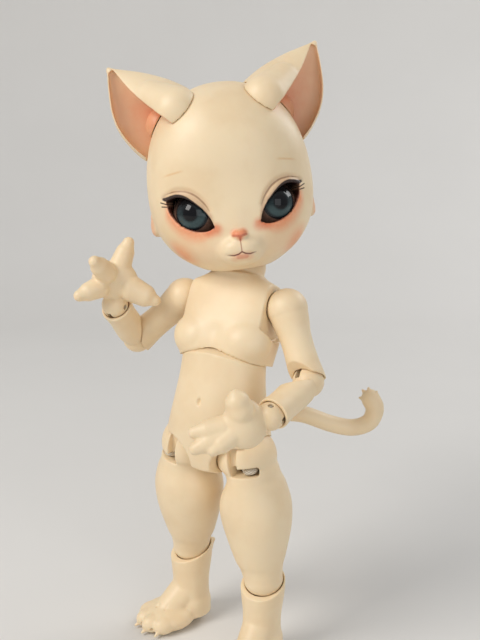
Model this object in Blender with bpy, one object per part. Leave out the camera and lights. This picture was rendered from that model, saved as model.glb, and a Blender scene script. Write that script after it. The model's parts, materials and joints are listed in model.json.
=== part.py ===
"""Ball jointed doll: a cast resin cat figure in the pose of the photograph.

The doll stands on z = 0 and faces -Y, so its left side is +X. Every joint is a ball in a
socket, held shut by elastic cord, and every joint has an empty at its centre. A limb is
modelled hanging down: its joint is at the empty and its bone runs along the empty's -Z.
"""

from math import asin, atan2, cos, degrees, pi, radians, sin

import bmesh
import bpy
from mathutils import Euler, Matrix, Vector
from mathutils.bvhtree import BVHTree

MM = 0.001

# Fit between pieces that touch or turn on each other
GAP = 0.3 * MM
OVERRUN = 3.0 * MM
MERGE = 0.01 * MM

# Legs
HIP_OFFSET = 12.5 * MM
HIP_BALL = 11.0 * MM
THIGH_LENGTH = 47.0 * MM
THIGH_HALF_WIDTH = 13.4 * MM
HOCK_BALL = 7.4 * MM
HOCK_HEIGHT = 32.5 * MM
HOCK_CUP_WALL = 1.0 * MM
HOCK_RIM_DROP = 2.0 * MM
SPUR_REACH = 12.2 * MM
SPUR_HEIGHT = 1.0 * MM
SPUR_RADIUS = 2.1 * MM
SHANK_HALF_WIDTH = 7.9 * MM
FOOT_LENGTH = 22.0 * MM
FOOT_HALF_WIDTH = 10.2 * MM
FOOT_THICKNESS = 8.6 * MM
HEEL_RADIUS = 8.2 * MM
TOE_RADIUS = 4.3 * MM
CLAW_LENGTH = 2.6 * MM
FOOT_PIN_DROP = 15.5 * MM
FOOT_PIN_RADIUS = 0.9 * MM
FOOT_PIN_HALF_LENGTH = 5.6 * MM
HOOK_ROOM = 3.0 * MM
SLOT_WIDTH = 3.5 * MM
SLOT_DROP = 4.8 * MM
SLOT_RISE = 8.0 * MM
SLOT_DEPTH = 3.2 * MM
POCKET_REACH = 8.2 * MM
POCKET_HEIGHT = 3.4 * MM

# Torso
WAIST_HEIGHT = 16.0 * MM
WAIST_FORWARD = 1.0 * MM
WAIST_BALL = 24.0 * MM
PELVIS_HALF_WIDTH = 20.8 * MM
BELLY_DEPTH = 15.4 * MM
SEAT_DEPTH = 14.4 * MM
CROTCH_DROP = 12.5 * MM
ABDOMEN_RISE = 44.0 * MM
LEG_OPENING = 9.4 * MM
LEG_OPENING_DROP = 4.4 * MM
LEG_OPENING_OUT = 1.2 * MM
NAVEL_HEIGHT = 20.0 * MM
NAVEL_RADIUS = 1.1 * MM
CHEST_HALF_WIDTH = 20.2 * MM
CHEST_DEPTH = 12.0 * MM
SHOULDER_HEIGHT = 38.5 * MM
SHOULDER_OFFSET = 21.5 * MM
SHOULDER_RELIEF = 15.9 * MM
SHOULDER_RELIEF_RADIUS = 12.5 * MM
NECK_HEIGHT = 52.0 * MM
NECK_BACK = 1.0 * MM
NECK_BALL = 9.3 * MM
CHEST_START = 12.0 * MM
BUST_OFFSET = 9.2 * MM
BUST_HEIGHT = 25.0 * MM
BUST_FORWARD = 5.4 * MM
BUST_RADIUS = 9.8 * MM

# Arms
SHOULDER_BALL = 7.4 * MM
UPPER_ARM_LENGTH = 27.0 * MM
UPPER_ARM_HALF_WIDTH = 5.8 * MM
ELBOW_BALL = 5.6 * MM
ELBOW_CUP_WALL = 0.95 * MM
ELBOW_RIM_RISE = 1.9 * MM
FOREARM_LENGTH = 23.0 * MM
FOREARM_HALF_WIDTH = 6.1 * MM
FOREARM_HALF_DEPTH = 5.7 * MM
WRIST_BALL = 4.9 * MM
WRIST_CUP_WIDTH = 6.7 * MM
WRIST_CUP_DEPTH = 6.1 * MM
WRIST_RIM_RISE = 1.2 * MM
PALM_LENGTH = 11.0 * MM
PALM_HALF_WIDTH = 8.2 * MM
PALM_HALF_DEPTH = 4.3 * MM
FINGER_RADIUS = 3.7 * MM
FINGERTIP_RADIUS = 2.2 * MM
WRIST_PIN_RADIUS = 0.7 * MM

# Head
HEAD_HEIGHT = 67.0 * MM
HEAD_HALF_WIDTH = 30.0 * MM
HEAD_FRONT = 27.0 * MM
HEAD_BACK = 29.0 * MM
HEAD_WALL = 3.6 * MM
NECK_PLATE = 2.6 * MM
NOSE_FORWARD = 29.4 * MM
NOSE_HEIGHT = 12.4 * MM
NOSE_RADIUS = 2.6 * MM
MUZZLE_RADIUS = 8.6 * MM
SIDE_EAR_RADIUS = 4.4 * MM
SIDE_EAR_HEIGHT = 19.5 * MM
EYE_RADIUS = 9.0 * MM
EYE_OFFSET = 12.6 * MM
EYE_DEPTH = 14.2 * MM
EYE_HEIGHT = 21.4 * MM
EYE_OPENING = 9.9 * MM
EYE_OPENING_HALF_HEIGHT = 5.2 * MM
EYE_BACK = 3.0 * MM
LID_OUT = 16.5 * MM
LID_FORWARD = 23.65 * MM
LID_ALONG = (0.778, 0.328, 0.535)
LID_FACING = (0.366, -0.93, 0.038)
LID_SHARES = ((-1, -0.05), (-0.72, 0.36), (-0.35, 0.66), (0.05, 0.82), (0.38, 0.84), (0.68, 0.66),
              (0.88, 0.36), (1, 0.05), (0.85, -0.35), (0.55, -0.68), (0.15, -0.88), (-0.28, -0.9),
              (-0.66, -0.66), (-0.9, -0.32))
PUTTY_DEPTH = 2.2 * MM
PUTTY_HOLE = 6.0 * MM
CAVITY_HALF_WIDTH = 25.8 * MM
CAVITY_HALF_DEPTH = 23.5 * MM
CAVITY_HALF_HEIGHT = 24.5 * MM
CAVITY_BACK = 1.5 * MM
CAVITY_HEIGHT = 39.2 * MM
CAP_BACK = 18.5 * MM
CAP_HEIGHT = 40.5 * MM
CAP_TILT = 21.8
CAP_MAGNET_OUT = 18.6 * MM
CAP_MAGNET_DROP = 1.0 * MM
CAP_MAGNET_RADIUS = 1.3 * MM
CAP_BOSS_RADIUS = 2.9 * MM
CAP_BOSS_DEPTH = 4.6 * MM
NECK_HOLE = 2.6 * MM
NECK_RECESS = 13.2 * MM
NECK_RECESS_HEIGHT = 3.2 * MM

# Cat ears
EAR_BASE_OUT = 20.0 * MM
EAR_BASE_BACK = 2.0 * MM
EAR_BASE_HEIGHT = 54.0 * MM
EAR_TIP_OUT = 38.5 * MM
EAR_TIP_BACK = 3.0 * MM
EAR_TIP_HEIGHT = 78.0 * MM
EAR_HALF_WIDTH = 15.5 * MM
EAR_HALF_DEPTH = 7.2 * MM
EAR_BOW = 1.0 * MM
EAR_FRONT = 20.5 * MM
EAR_LEVELS = (-0.24, -0.12, 0.0, 0.13, 0.26, 0.40, 0.54, 0.68, 0.81, 0.92, 1.0)
EAR_WIDTHS = (0.86, 0.97, 1.03, 1.04, 0.98, 0.87, 0.71, 0.51, 0.30, 0.13, 0.05)
EAR_FRONTS = (0.92, 1.0, 0.98, 0.86, 0.71, 0.57, 0.43, 0.30, 0.18, 0.08, 0.03)
EAR_BACKS = (0.96, 1.0, 1.0, 0.97, 0.90, 0.79, 0.64, 0.47, 0.31, 0.16, 0.07)
EAR_ROOM_LOW = 0.10
EAR_ROOM_HIGH = 0.85
EAR_WALL = 1.7 * MM
EAR_LIP = 1.2 * MM
EAR_ROOM_BACK_SHARE = 0.40
EAR_ROOM_FRONT_SHARE = 1.25
EAR_SEAT_CENTRE = 36.0 * MM
EAR_SEAT_RAY = (0.743, 0.019, 0.669)

# Tail
TAIL_BALL = 4.3 * MM
TAIL_RADIUS = 3.3 * MM
TAIL_SEAT_BACK = 13.2 * MM
TAIL_SEAT_HEIGHT = 8.5 * MM
TAIL_UNIT = 10.0 * MM
TAIL_CORE = 2.4 * MM
TAIL_BORE_SHARE = 1.0
TAIL_LIFT_LIMIT = 12.0
TAIL_CORD_REACH = 12.0 * MM
TUFT_RADIUS = 1.9 * MM
TUFT_SPREAD = 4.2 * MM
TUFT_SHARES = ((-0.75, 0.35), (-0.25, 0.85), (0.30, 0.95), (0.85, 0.55))
TAIL_SHARES = (0.95, 1.0, 1.0, 1.0, 1.0, 1.0, 1.05, 1.12)
TAIL_ROUTE_SHARES = ((0, 0, 0), (0.35, 0.62, 0.10), (0.95, 1.05, 0.28), (1.87, 1.55, 0.34), (2.72, 2.31, 0.0),
                     (3.43, 2.82, -0.11), (3.99, 3.10, 0.16), (4.17, 3.14, 0.71), (3.97, 3.09, 1.10))
TAIL_ROUTE = [tuple(TAIL_UNIT * share for share in point) for point in TAIL_ROUTE_SHARES]

# Stringing and fasteners
LEG_CORD = 1.2 * MM
ARM_CORD = 0.9 * MM
CORD_BEAD = 1.6 * MM
ARM_BEAD = 1.2 * MM
CORD_ROOM = 0.9 * MM
HOOK_WIRE = 0.6 * MM
TORSO_BORE = 5.4 * MM
HIP_WELL_HEIGHT = 15.4 * MM
HIP_WELL_RADIUS = 3.2 * MM
HIP_BORE = 2.6 * MM
TAIL_WELL = 4.0 * MM
NECK_BORE = 2.8 * MM
NECK_FLARE = 6.4 * MM
CHEST_BORE = 4.0 * MM
CHEST_BORE_BACK = 2.0 * MM
CORD_BORE = 2.3 * MM
THIGH_BORE = 3.0 * MM
LIMB_BORE = 2.0 * MM
CORD_GAP = 0.5 * MM
CORD_SIDES = 6
CORD_SPACING = 3.6 * MM
WIRE_SPACING = 2.4 * MM
WRIST_HOOK_RISE = 5.5 * MM
HOOK_LOOP_SHARES = ((0, 1.9), (0.75, 1.0), (1.0, 0.0), (0.7, -0.72), (0, -1.0), (-0.7, -0.72),
                    (-1.0, 0.0), (-0.8, 0.7))
NECK_HOOK_SHARES = ((0.38, 1.345), (0.18, 1.37), (0.045, 1.30), (0, 1.14), (0, 0.7), (0, 0.185))
TORSO_CORD_SHARES = ((0, 0.06), (0.006, 0.27), (0.02, 0.5), (0.06, 0.655), (0.071, 0.745),
                     (0.046, 0.86), (0.019, 0.94))
HIP_CORD_SHARES = ((0.19, -0.08, 1.03), (0.4, -0.056, 1.013), (0.68, -0.024, 0.987), (0.91, 0, 0.9),
                   (1.0, 0, 0.74), (1.0, 0, 0.14))
POCKET_CORD_SHARES = ((0, -0.05, -0.235), (0.06, -0.26, -0.265), (0.34, -0.66, -0.285), (0.53, -0.54, -0.285),
                      (0.38, -0.04, -0.28), (0.16, 0.08, -0.31), (0.06, 0.06, -0.48), (0, 0, -0.85))
MAGNET_RADIUS = 2.0 * MM
MAGNET_THICKNESS = 1.5 * MM

# Room for the cords at the balls' centres, and the angles they sweep, in degrees
ARM_CORE = 2.6 * MM
ELBOW_CORE = 2.3 * MM
WRIST_CORE = 2.7 * MM
HIP_CORE = 4.4 * MM
HOCK_CORE = 3.4 * MM
ARM_SLOT = 2.6 * MM
FAN_STEP = 20.0
FAN_SPARE = 3.0
SHOULDER_RAISE = {"left": (-10.0, 40.0), "right": (-25.0, 24.0)}
ELBOW_BEND_LIMIT = 116.5
WRIST_BEND_LIMIT = 45.0
HIP_SWING_FRONT = 45.0
HIP_SWING_BACK = 12.0
HOCK_BEND_FRONT = 35.0
HOCK_BEND_BACK = 15.0

# Digits of each paw from the palm's centre: thumbward, fingerward, palmward shares of the reach
HAND_REACH = 18.0 * MM
DIGIT_ROOT_SHARE = 0.38
THUMB_WIDENING = 1.25
DIGIT_SHARES = {
    "left": ((0.09, 1.02, 0.26), (-0.24, 1.08, 0.26), (-0.36, 0.79, 0.08), (0.66, 0.13, -0.24)),
    "right": ((0.33, 0.87, -0.17), (-0.44, 0.63, 0.54), (-0.80, -0.21, 0.46), (0.92, -0.40, 0.27)),
}

# Fineness of the cast skins
BODY_VOXEL = 1.0 * MM
BODY_KEPT = 0.05
HAND_VOXEL = 0.6 * MM
HAND_KEPT = 0.036
TAIL_KEPT = 0.045
FOOT_VOXEL = 0.8 * MM
FOOT_KEPT = 0.038
HEAD_VOXEL = 1.1 * MM
HEAD_KEPT = 0.028

# Angles of the rims, in degrees
ELBOW_RIM_TILT = 24.0
ELBOW_FRONT_RIM = 35.0
ELBOW_NOTCH = 27.0
HOCK_RIM_TILT = 24.0
TOE_SPLAY = 12.0

# Pose of the photograph, in degrees
PELVIS_PITCH = -6.0
CHEST_TURN = (-10.0, -1.0, 4.0)
HEAD_TURN = (8.0, -16.0, 29.0)
THIGH_SPREAD = {"left": 9.5, "right": 5.7}
THIGH_SWING = {"left": 1.5, "right": 9.5}
THIGH_TWIST = {"left": 2.0, "right": -8.0}
FOOT_YAW = {"left": 4.0, "right": -25.0}
UPPER_ARM_TURN = {"left": (14.0, -20.4, -26.1), "right": (-18.0, 46.1, -30.0)}
ELBOW_BEND = {"left": 68.0, "right": 116.0}
HAND_TURN = {"left": (-23.5, -18.0, -83.4), "right": (32.7, 21.4, 101.0)}
SIDES = {"left": 1, "right": -1}


def clear_scene():
    """Start from an empty scene."""
    for item in list(bpy.data.objects):
        bpy.data.objects.remove(item, do_unlink=True)


def finish(name, colour, roughness, metallic=0.0):
    """A plain coat: colour, roughness and metallic value."""
    made = bpy.data.materials.new(name)
    made.use_nodes = True
    shader = made.node_tree.nodes["Principled BSDF"]
    shader.inputs["Base Color"].default_value = (*colour, 1.0)
    shader.inputs["Roughness"].default_value = roughness
    shader.inputs["Metallic"].default_value = metallic
    return made


def frame(name, parent, place, turn=(0.0, 0.0, 0.0)):
    """An empty at a joint's centre, turned by three angles in degrees."""
    empty = bpy.data.objects.new(name, None)
    bpy.context.collection.objects.link(empty)
    empty.parent = parent
    empty.location = place
    empty.rotation_euler = Euler([radians(angle) for angle in turn])
    return empty


def part(name, mesh, carrier, coat):
    """A named piece that moves with its carrier."""
    piece = bpy.data.objects.new(name, mesh)
    bpy.context.collection.objects.link(piece)
    piece.parent = carrier
    if coat:
        mesh.materials.clear()
        mesh.materials.append(coat)
    mesh.shade_smooth()
    return piece


def cutter(name, mesh, carrier):
    """A guide that cuts others and is no piece of the doll."""
    guide = part(name, mesh, carrier, None)
    guide.hide_render = True
    guide.display_type = "WIRE"
    return guide


def boolean(piece, guide, operation="DIFFERENCE", solver="EXACT"):
    """Cut, join or intersect a piece with a guide."""
    step = piece.modifiers.new(operation.title(), "BOOLEAN")
    step.operation = operation
    step.solver = solver
    step.object = guide


def mesh_from(name, work):
    """Turn a finished bmesh into a mesh with its faces pointing out."""
    bmesh.ops.recalc_face_normals(work, faces=work.faces)
    mesh = bpy.data.meshes.new(name)
    work.to_mesh(mesh)
    work.free()
    return mesh


def ring(height, half_width, front, back, shift=(0.0, 0.0)):
    """One level of a loft: its height, half width, depth in front and behind."""
    return height, half_width, front, back, shift


def add_loft(work, rings, sides, boxiness=2.0, place=None):
    """Skin a stack of ovals, closed at both ends."""
    loops = []
    for height, half_width, front, back, shift in rings:
        loop = []
        for step in range(sides):
            angle = 2 * pi * (step + 0.5) / sides
            across, along = cos(angle), sin(angle)
            reach = (abs(across) ** boxiness + abs(along) ** boxiness) ** (-1 / boxiness)
            depth = front if along < 0 else back
            point = Vector((shift[0] + half_width * across * reach,
                            shift[1] + depth * along * reach, height))
            loop.append(work.verts.new(place @ point if place else point))
        loops.append(loop)
    for upper, lower in zip(loops, loops[1:]):
        for step in range(sides):
            after = (step + 1) % sides
            work.faces.new((upper[step], upper[after], lower[after], lower[step]))
    work.faces.new(loops[0])
    work.faces.new(list(reversed(loops[-1])))


def add_ball(work, radius, centre=(0, 0, 0), scale=(1, 1, 1), segments=16, levels=10, turn=None):
    """A ball or, with a scale, an egg."""
    place = Matrix.Translation(centre)
    if turn:
        place = place @ turn
    place = place @ Matrix.Diagonal((*scale, 1))
    bmesh.ops.create_uvsphere(work, u_segments=segments, v_segments=levels, radius=radius, matrix=place)


def add_taper(work, start, end, start_radius, end_radius, sides=10):
    """A round-ended bar from one point to another."""
    start, end = Vector(start), Vector(end)
    along = end - start
    turn = along.to_track_quat("Z", "Y").to_matrix().to_4x4()
    place = Matrix.Translation((start + end) / 2) @ turn
    bmesh.ops.create_cone(work, cap_ends=True, segments=sides, radius1=start_radius,
                          radius2=end_radius, depth=along.length, matrix=place)
    add_ball(work, start_radius, start, segments=sides, levels=sides - 2)
    add_ball(work, end_radius, end, segments=sides, levels=sides - 2)


def ball_mesh(name, radius, centre=(0, 0, 0), segments=14, levels=8, scale=(1, 1, 1), turn=None):
    work = bmesh.new()
    add_ball(work, radius, centre, scale, segments, levels, turn)
    return mesh_from(name, work)


def box_mesh(name, low, high):
    """A box between two corners."""
    low, high = Vector(low), Vector(high)
    work = bmesh.new()
    place = Matrix.Translation((low + high) / 2) @ Matrix.Diagonal((*(high - low), 1))
    bmesh.ops.create_cube(work, size=1, matrix=place)
    return mesh_from(name, work)


def rod_mesh(name, start, end, radius, sides=14, end_radius=None):
    """A cylinder or cone between two points."""
    start, end = Vector(start), Vector(end)
    along = end - start
    place = Matrix.Translation((start + end) / 2) @ along.to_track_quat("Z", "Y").to_matrix().to_4x4()
    work = bmesh.new()
    last = radius if end_radius is None else end_radius
    bmesh.ops.create_cone(work, cap_ends=True, segments=sides, radius1=radius, radius2=last,
                          depth=along.length, matrix=place)
    return mesh_from(name, work)


def socket_radius(ball, segments, levels):
    """Radius of a faceted hollow whose flats stay one gap clear of the ball."""
    return (ball + GAP) / (cos(pi / segments) * cos(pi / (2 * levels)))


SOCKET_SEGMENTS = 14
SOCKET_LEVELS = 8


def hollow(name, ball, carrier, centre=(0, 0, 0)):
    """A guide that cuts the socket of a ball."""
    radius = socket_radius(ball, SOCKET_SEGMENTS, SOCKET_LEVELS)
    return cutter(name, ball_mesh(name, radius, centre, SOCKET_SEGMENTS, SOCKET_LEVELS), carrier)


def bore(piece, name, carrier, start, end, radius, sides, solver="EXACT"):
    """Drill a straight hole through a piece."""
    guide = cutter(f"{name}_guide", rod_mesh(f"{name}_guide", start, end, radius, sides), carrier)
    boolean(piece, guide, solver=solver)


def fan(piece, name, carrier, centre, along, axis, low, high, reach, half_thickness):
    """Cut the flat fan that a cord sweeps as its joint turns about an axis."""
    centre, along, axis = Vector(centre), Vector(along), Vector(axis)
    steps = max(3, round((high - low) / FAN_STEP))

    def ray(angle):
        return Matrix.Rotation(radians(angle), 3, axis) @ along

    edges = [(ray(low - 90) * half_thickness, ray(low)), (ray(high + 90) * half_thickness, ray(high))]
    outline = [edges[0][0], edges[0][0] + edges[0][1] * reach]
    outline += [ray(low + (high - low) * step / steps) * reach for step in range(steps + 1)]
    outline += [edges[1][0] + edges[1][1] * reach, edges[1][0]]
    work = bmesh.new()
    sheets = [[work.verts.new(centre + point + axis * offset) for point in outline]
              for offset in (-half_thickness, half_thickness)]
    lower, upper = sheets
    work.faces.new(lower)
    work.faces.new(list(reversed(upper)))
    for step in range(len(lower)):
        after = (step + 1) % len(lower)
        work.faces.new((lower[after], lower[step], upper[step], upper[after]))
    boolean(piece, cutter(f"{name}_guide", mesh_from(f"{name}_guide", work), carrier))


def ball_rings(radius, angles):
    """Levels of a ball from its top down, by the angle from its top."""
    rings = []
    for angle in angles:
        reach = radius * sin(radians(angle))
        rings.append(ring(radius * cos(radians(angle)), reach, reach, reach))
    return rings


def soften(piece, voxel, steps, kept_share):
    """Melt joined shapes into one skin, smooth it and thin its faces, and keep the result."""
    melt = piece.modifiers.new("Melt", "REMESH")
    melt.mode = "VOXEL"
    melt.voxel_size = voxel
    smooth = piece.modifiers.new("Smooth", "SMOOTH")
    smooth.iterations = steps
    smooth.factor = 0.5
    thin = piece.modifiers.new("Thin", "DECIMATE")
    thin.ratio = kept_share
    bpy.context.view_layer.update()
    seen = piece.evaluated_get(bpy.context.evaluated_depsgraph_get())
    mesh = bpy.data.meshes.new_from_object(seen)
    old = piece.data
    piece.modifiers.clear()
    piece.data = mesh
    bpy.data.meshes.remove(old)
    piece.data.shade_smooth()


def smooth_route(points, spacing):
    """Points along a smooth curve through the given ones, evenly spaced."""
    points = [Vector(point) for point in points]
    ends = [2 * points[0] - points[1]] + points + [2 * points[-1] - points[-2]]
    fine = []
    for before, start, end, after in zip(ends, ends[1:], ends[2:], ends[3:]):
        steps = max(2, round((end - start).length / spacing))
        for step in range(steps):
            t = step / steps
            fine.append(0.5 * ((2 * start) + (end - before) * t
                               + (2 * before - 5 * start + 4 * end - after) * t * t
                               + (3 * start - before - 3 * end + after) * t ** 3))
    return fine + [points[-1]]


def cord(name, points, radius, carrier, coat, spacing):
    """A round cord or wire along a route, with flat ends."""
    route = smooth_route(points, spacing)
    ways = [(after - before).normalized() for before, after in zip(route[:1] + route, route[1:] + route[-1:])]
    side_way = ways[0].orthogonal().normalized()
    work = bmesh.new()
    loops = []
    for point, way in zip(route, ways):
        side_way = (side_way - way * side_way.dot(way)).normalized()
        up_way = way.cross(side_way)
        loops.append([work.verts.new(point + (side_way * cos(2 * pi * step / CORD_SIDES)
                                              + up_way * sin(2 * pi * step / CORD_SIDES)) * radius)
                      for step in range(CORD_SIDES)])
    for lower, upper in zip(loops, loops[1:]):
        for step in range(CORD_SIDES):
            after = (step + 1) % CORD_SIDES
            work.faces.new((lower[step], lower[after], upper[after], upper[step]))
    work.faces.new(loops[0])
    work.faces.new(list(reversed(loops[-1])))
    return part(name, mesh_from(name, work), carrier, coat)


def bead(name, radius, carrier, coat):
    """The short rounded length of cord that flexes at a ball's centre."""
    return part(name, ball_mesh(name, radius, segments=8, levels=5), carrier, coat)


RESIN = (0.86, 0.78, 0.64)
clear_scene()
resin = finish("cast_resin", RESIN, 0.42)
elastic = finish("braided_elastic", (0.80, 0.76, 0.68), 0.85)
steel = finish("steel_wire", (0.62, 0.62, 0.64), 0.30, 1.0)
magnet_coat = finish("nickel_magnet", (0.66, 0.65, 0.62), 0.28, 1.0)
glass = finish("grey_glass", (0.05, 0.09, 0.11), 0.08)
putty = finish("eye_putty", (0.82, 0.80, 0.74), 0.75)


def thigh_drop(side):
    """How far the hock lies under the hip in the pose."""
    spread, swing = radians(THIGH_SPREAD[side]), radians(THIGH_SWING[side])
    return THIGH_LENGTH * cos(spread) * cos(swing)


# Joint centres, from the pelvis outwards
hip_level = HOCK_HEIGHT + (thigh_drop("left") + thigh_drop("right")) / 2
hip_rise = (thigh_drop("left") - thigh_drop("right")) / 2
pelvis_roll = asin(hip_rise / HIP_OFFSET)
stand = frame("stand", None, (0, 0, 0))
pelvis = frame("pelvis_frame", stand, (0, 0, hip_level))
pelvis.rotation_mode = "XZY"
pelvis.rotation_euler = Euler((radians(PELVIS_PITCH), -pelvis_roll, 0), "XZY")
waist = frame("waist_joint", pelvis, (0, -WAIST_FORWARD, WAIST_HEIGHT), CHEST_TURN)
neck = frame("neck_joint", waist, (0, NECK_BACK, NECK_HEIGHT), HEAD_TURN)
tail_joint = frame("tail_joint", pelvis, (0, TAIL_SEAT_BACK, TAIL_SEAT_HEIGHT))
hips, hocks, shoulders, elbows, wrists = {}, {}, {}, {}, {}
for side, sign in SIDES.items():
    hip_place = pelvis.rotation_euler.to_matrix() @ Vector((sign * HIP_OFFSET, 0, 0))
    hips[side] = frame(f"{side}_hip_joint", stand, hip_place + Vector((0, 0, hip_level)),
                       (THIGH_SWING[side], -sign * THIGH_SPREAD[side], THIGH_TWIST[side]))
    hips[side].rotation_mode = "ZYX"
    hocks[side] = frame(f"{side}_hock_joint", hips[side], (0, 0, -THIGH_LENGTH))
    shoulders[side] = frame(f"{side}_shoulder_joint", waist, (sign * SHOULDER_OFFSET, 0, SHOULDER_HEIGHT),
                            UPPER_ARM_TURN[side])
    elbows[side] = frame(f"{side}_elbow_joint", shoulders[side], (0, 0, -UPPER_ARM_LENGTH),
                         (-ELBOW_BEND[side], 0, 0))
    wrists[side] = frame(f"{side}_wrist_joint", elbows[side], (0, 0, -FOREARM_LENGTH), HAND_TURN[side])
    # The lower leg stands upright, so its own frame undoes the thigh's turn
    bpy.context.view_layer.update()
    upright = hips[side].matrix_world.to_3x3().inverted() @ Matrix.Rotation(radians(FOOT_YAW[side]), 3, "Z")
    hocks[side].rotation_euler = upright.to_euler()
bpy.context.view_layer.update()


def raise_axis(side, sign):
    """Axis in the chest's frame about which the arm is lifted away from the body."""
    bone = Euler([radians(angle) for angle in UPPER_ARM_TURN[side]]).to_matrix() @ Vector((0, 0, -1))
    return -sign * Vector((1, 0, 0)).cross(bone).normalized()


def wrist_axis(side):
    """Axis in the hand's frame about which the wrist bends: square to hand and forearm."""
    turn = Euler([radians(angle) for angle in HAND_TURN[side]]).to_matrix()
    forearm_up = turn.transposed() @ Vector((0, 0, 1))
    return Vector((0, 0, 1)).cross(forearm_up).normalized()


def tail_cord_way():
    """Direction in the pelvis in which the tail's cord leaves its ball."""
    return Vector((0, -TAIL_SEAT_BACK, HIP_WELL_HEIGHT - TAIL_SEAT_HEIGHT)).normalized()


def levels_of(size, height_shares, width, width_shares, front, front_shares, back, back_shares):
    """Levels of a loft from tables of shares."""
    return [ring(size * height, width * across, front * ahead, back * behind)
            for height, across, ahead, behind in zip(height_shares, width_shares, front_shares, back_shares)]


def build_lower_torso():
    """Belly, hips and seat in one casting, hollow for the cords."""
    up_shares = (1.0, 0.84, 0.72, 0.60, 0.44, 0.28, 0.14, 0.0)
    half_width_shares = (0.74, 0.775, 0.785, 0.80, 0.85, 0.92, 0.985, 1.0)
    front_shares = (0.76, 0.79, 0.83, 0.90, 0.98, 1.0, 0.96, 0.86)
    back_shares = (0.68, 0.70, 0.72, 0.74, 0.80, 0.88, 0.96, 1.0)
    rings = levels_of(ABDOMEN_RISE, up_shares, PELVIS_HALF_WIDTH, half_width_shares,
                      BELLY_DEPTH, front_shares, SEAT_DEPTH, back_shares)
    down_shares = (-0.36, -0.72, -1.0)
    half_width_shares = (0.94, 0.66, 0.30)
    front_shares = (0.76, 0.60, 0.34)
    back_shares = (0.98, 0.80, 0.46)
    rings += levels_of(CROTCH_DROP, down_shares, PELVIS_HALF_WIDTH, half_width_shares,
                       BELLY_DEPTH, front_shares, SEAT_DEPTH, back_shares)
    work = bmesh.new()
    add_loft(work, rings, 24, boxiness=2.2)
    piece = part("lower_torso", mesh_from("lower_torso", work), pelvis, resin)
    soften(piece, BODY_VOXEL, 4, BODY_KEPT)
    dome = cutter("waist_dome_guide", ball_mesh("waist_dome_guide", WAIST_BALL, (0, 0, 0), 24, 14), waist)
    boolean(piece, dome, "INTERSECT")
    for side, sign in SIDES.items():
        boolean(piece, hollow(f"{side}_hip_hollow", HIP_BALL, pelvis, (sign * HIP_OFFSET, 0, 0)))
    for side, sign in SIDES.items():
        out = sign * (HIP_OFFSET + LEG_OPENING_OUT)
        low, front = (out, 0, -LEG_OPENING_DROP), (out, -BELLY_DEPTH - OVERRUN, -LEG_OPENING_DROP)
        bore(piece, f"{side}_leg_opening", pelvis, low, front, LEG_OPENING, 20)
    well_floor = Vector((0, -WAIST_FORWARD, HIP_WELL_HEIGHT - HIP_WELL_RADIUS))
    well_middle = Vector((0, -WAIST_FORWARD, WAIST_HEIGHT))
    chest_way = Euler([radians(angle) for angle in CHEST_TURN]).to_matrix() @ Vector((0, 0, 1))
    bore(piece, "waist_well_top", pelvis, well_middle,
         well_middle + chest_way * (WAIST_BALL + OVERRUN), TORSO_BORE, 16)
    bore(piece, "waist_well_floor", pelvis, well_floor,
         well_middle + chest_way * HIP_WELL_RADIUS, TORSO_BORE * 0.94, 16)
    for side, sign in SIDES.items():
        out = sign * HIP_OFFSET
        bore(piece, f"{side}_hip_bore", pelvis, (out, 0, HIP_BALL / 2),
             (out, 0, HIP_WELL_HEIGHT), HIP_BORE, 10,
             "MANIFOLD")
    ends = [(sign * (HIP_OFFSET + HIP_WELL_RADIUS * 0.5), 0, HIP_WELL_HEIGHT) for sign in (-1, 1)]
    bore(piece, "hip_cross_bore", pelvis, ends[0], ends[1], HIP_WELL_RADIUS, 12, "MANIFOLD")
    boolean(piece, hollow("tail_hollow", TAIL_BALL, pelvis, (0, TAIL_SEAT_BACK, TAIL_SEAT_HEIGHT)))
    seat = Vector((0, TAIL_SEAT_BACK, TAIL_SEAT_HEIGHT))
    bore(piece, "tail_bore", pelvis, seat,
         seat + tail_cord_way() * (TAIL_CORD_REACH + OVERRUN / 3), CORD_BORE, 8, "MANIFOLD")
    dimple = ball_mesh("navel_guide", NAVEL_RADIUS, (0, -BELLY_DEPTH, NAVEL_HEIGHT), 10, 6)
    boolean(piece, cutter("navel_guide", dimple, pelvis))
    return piece


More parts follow.
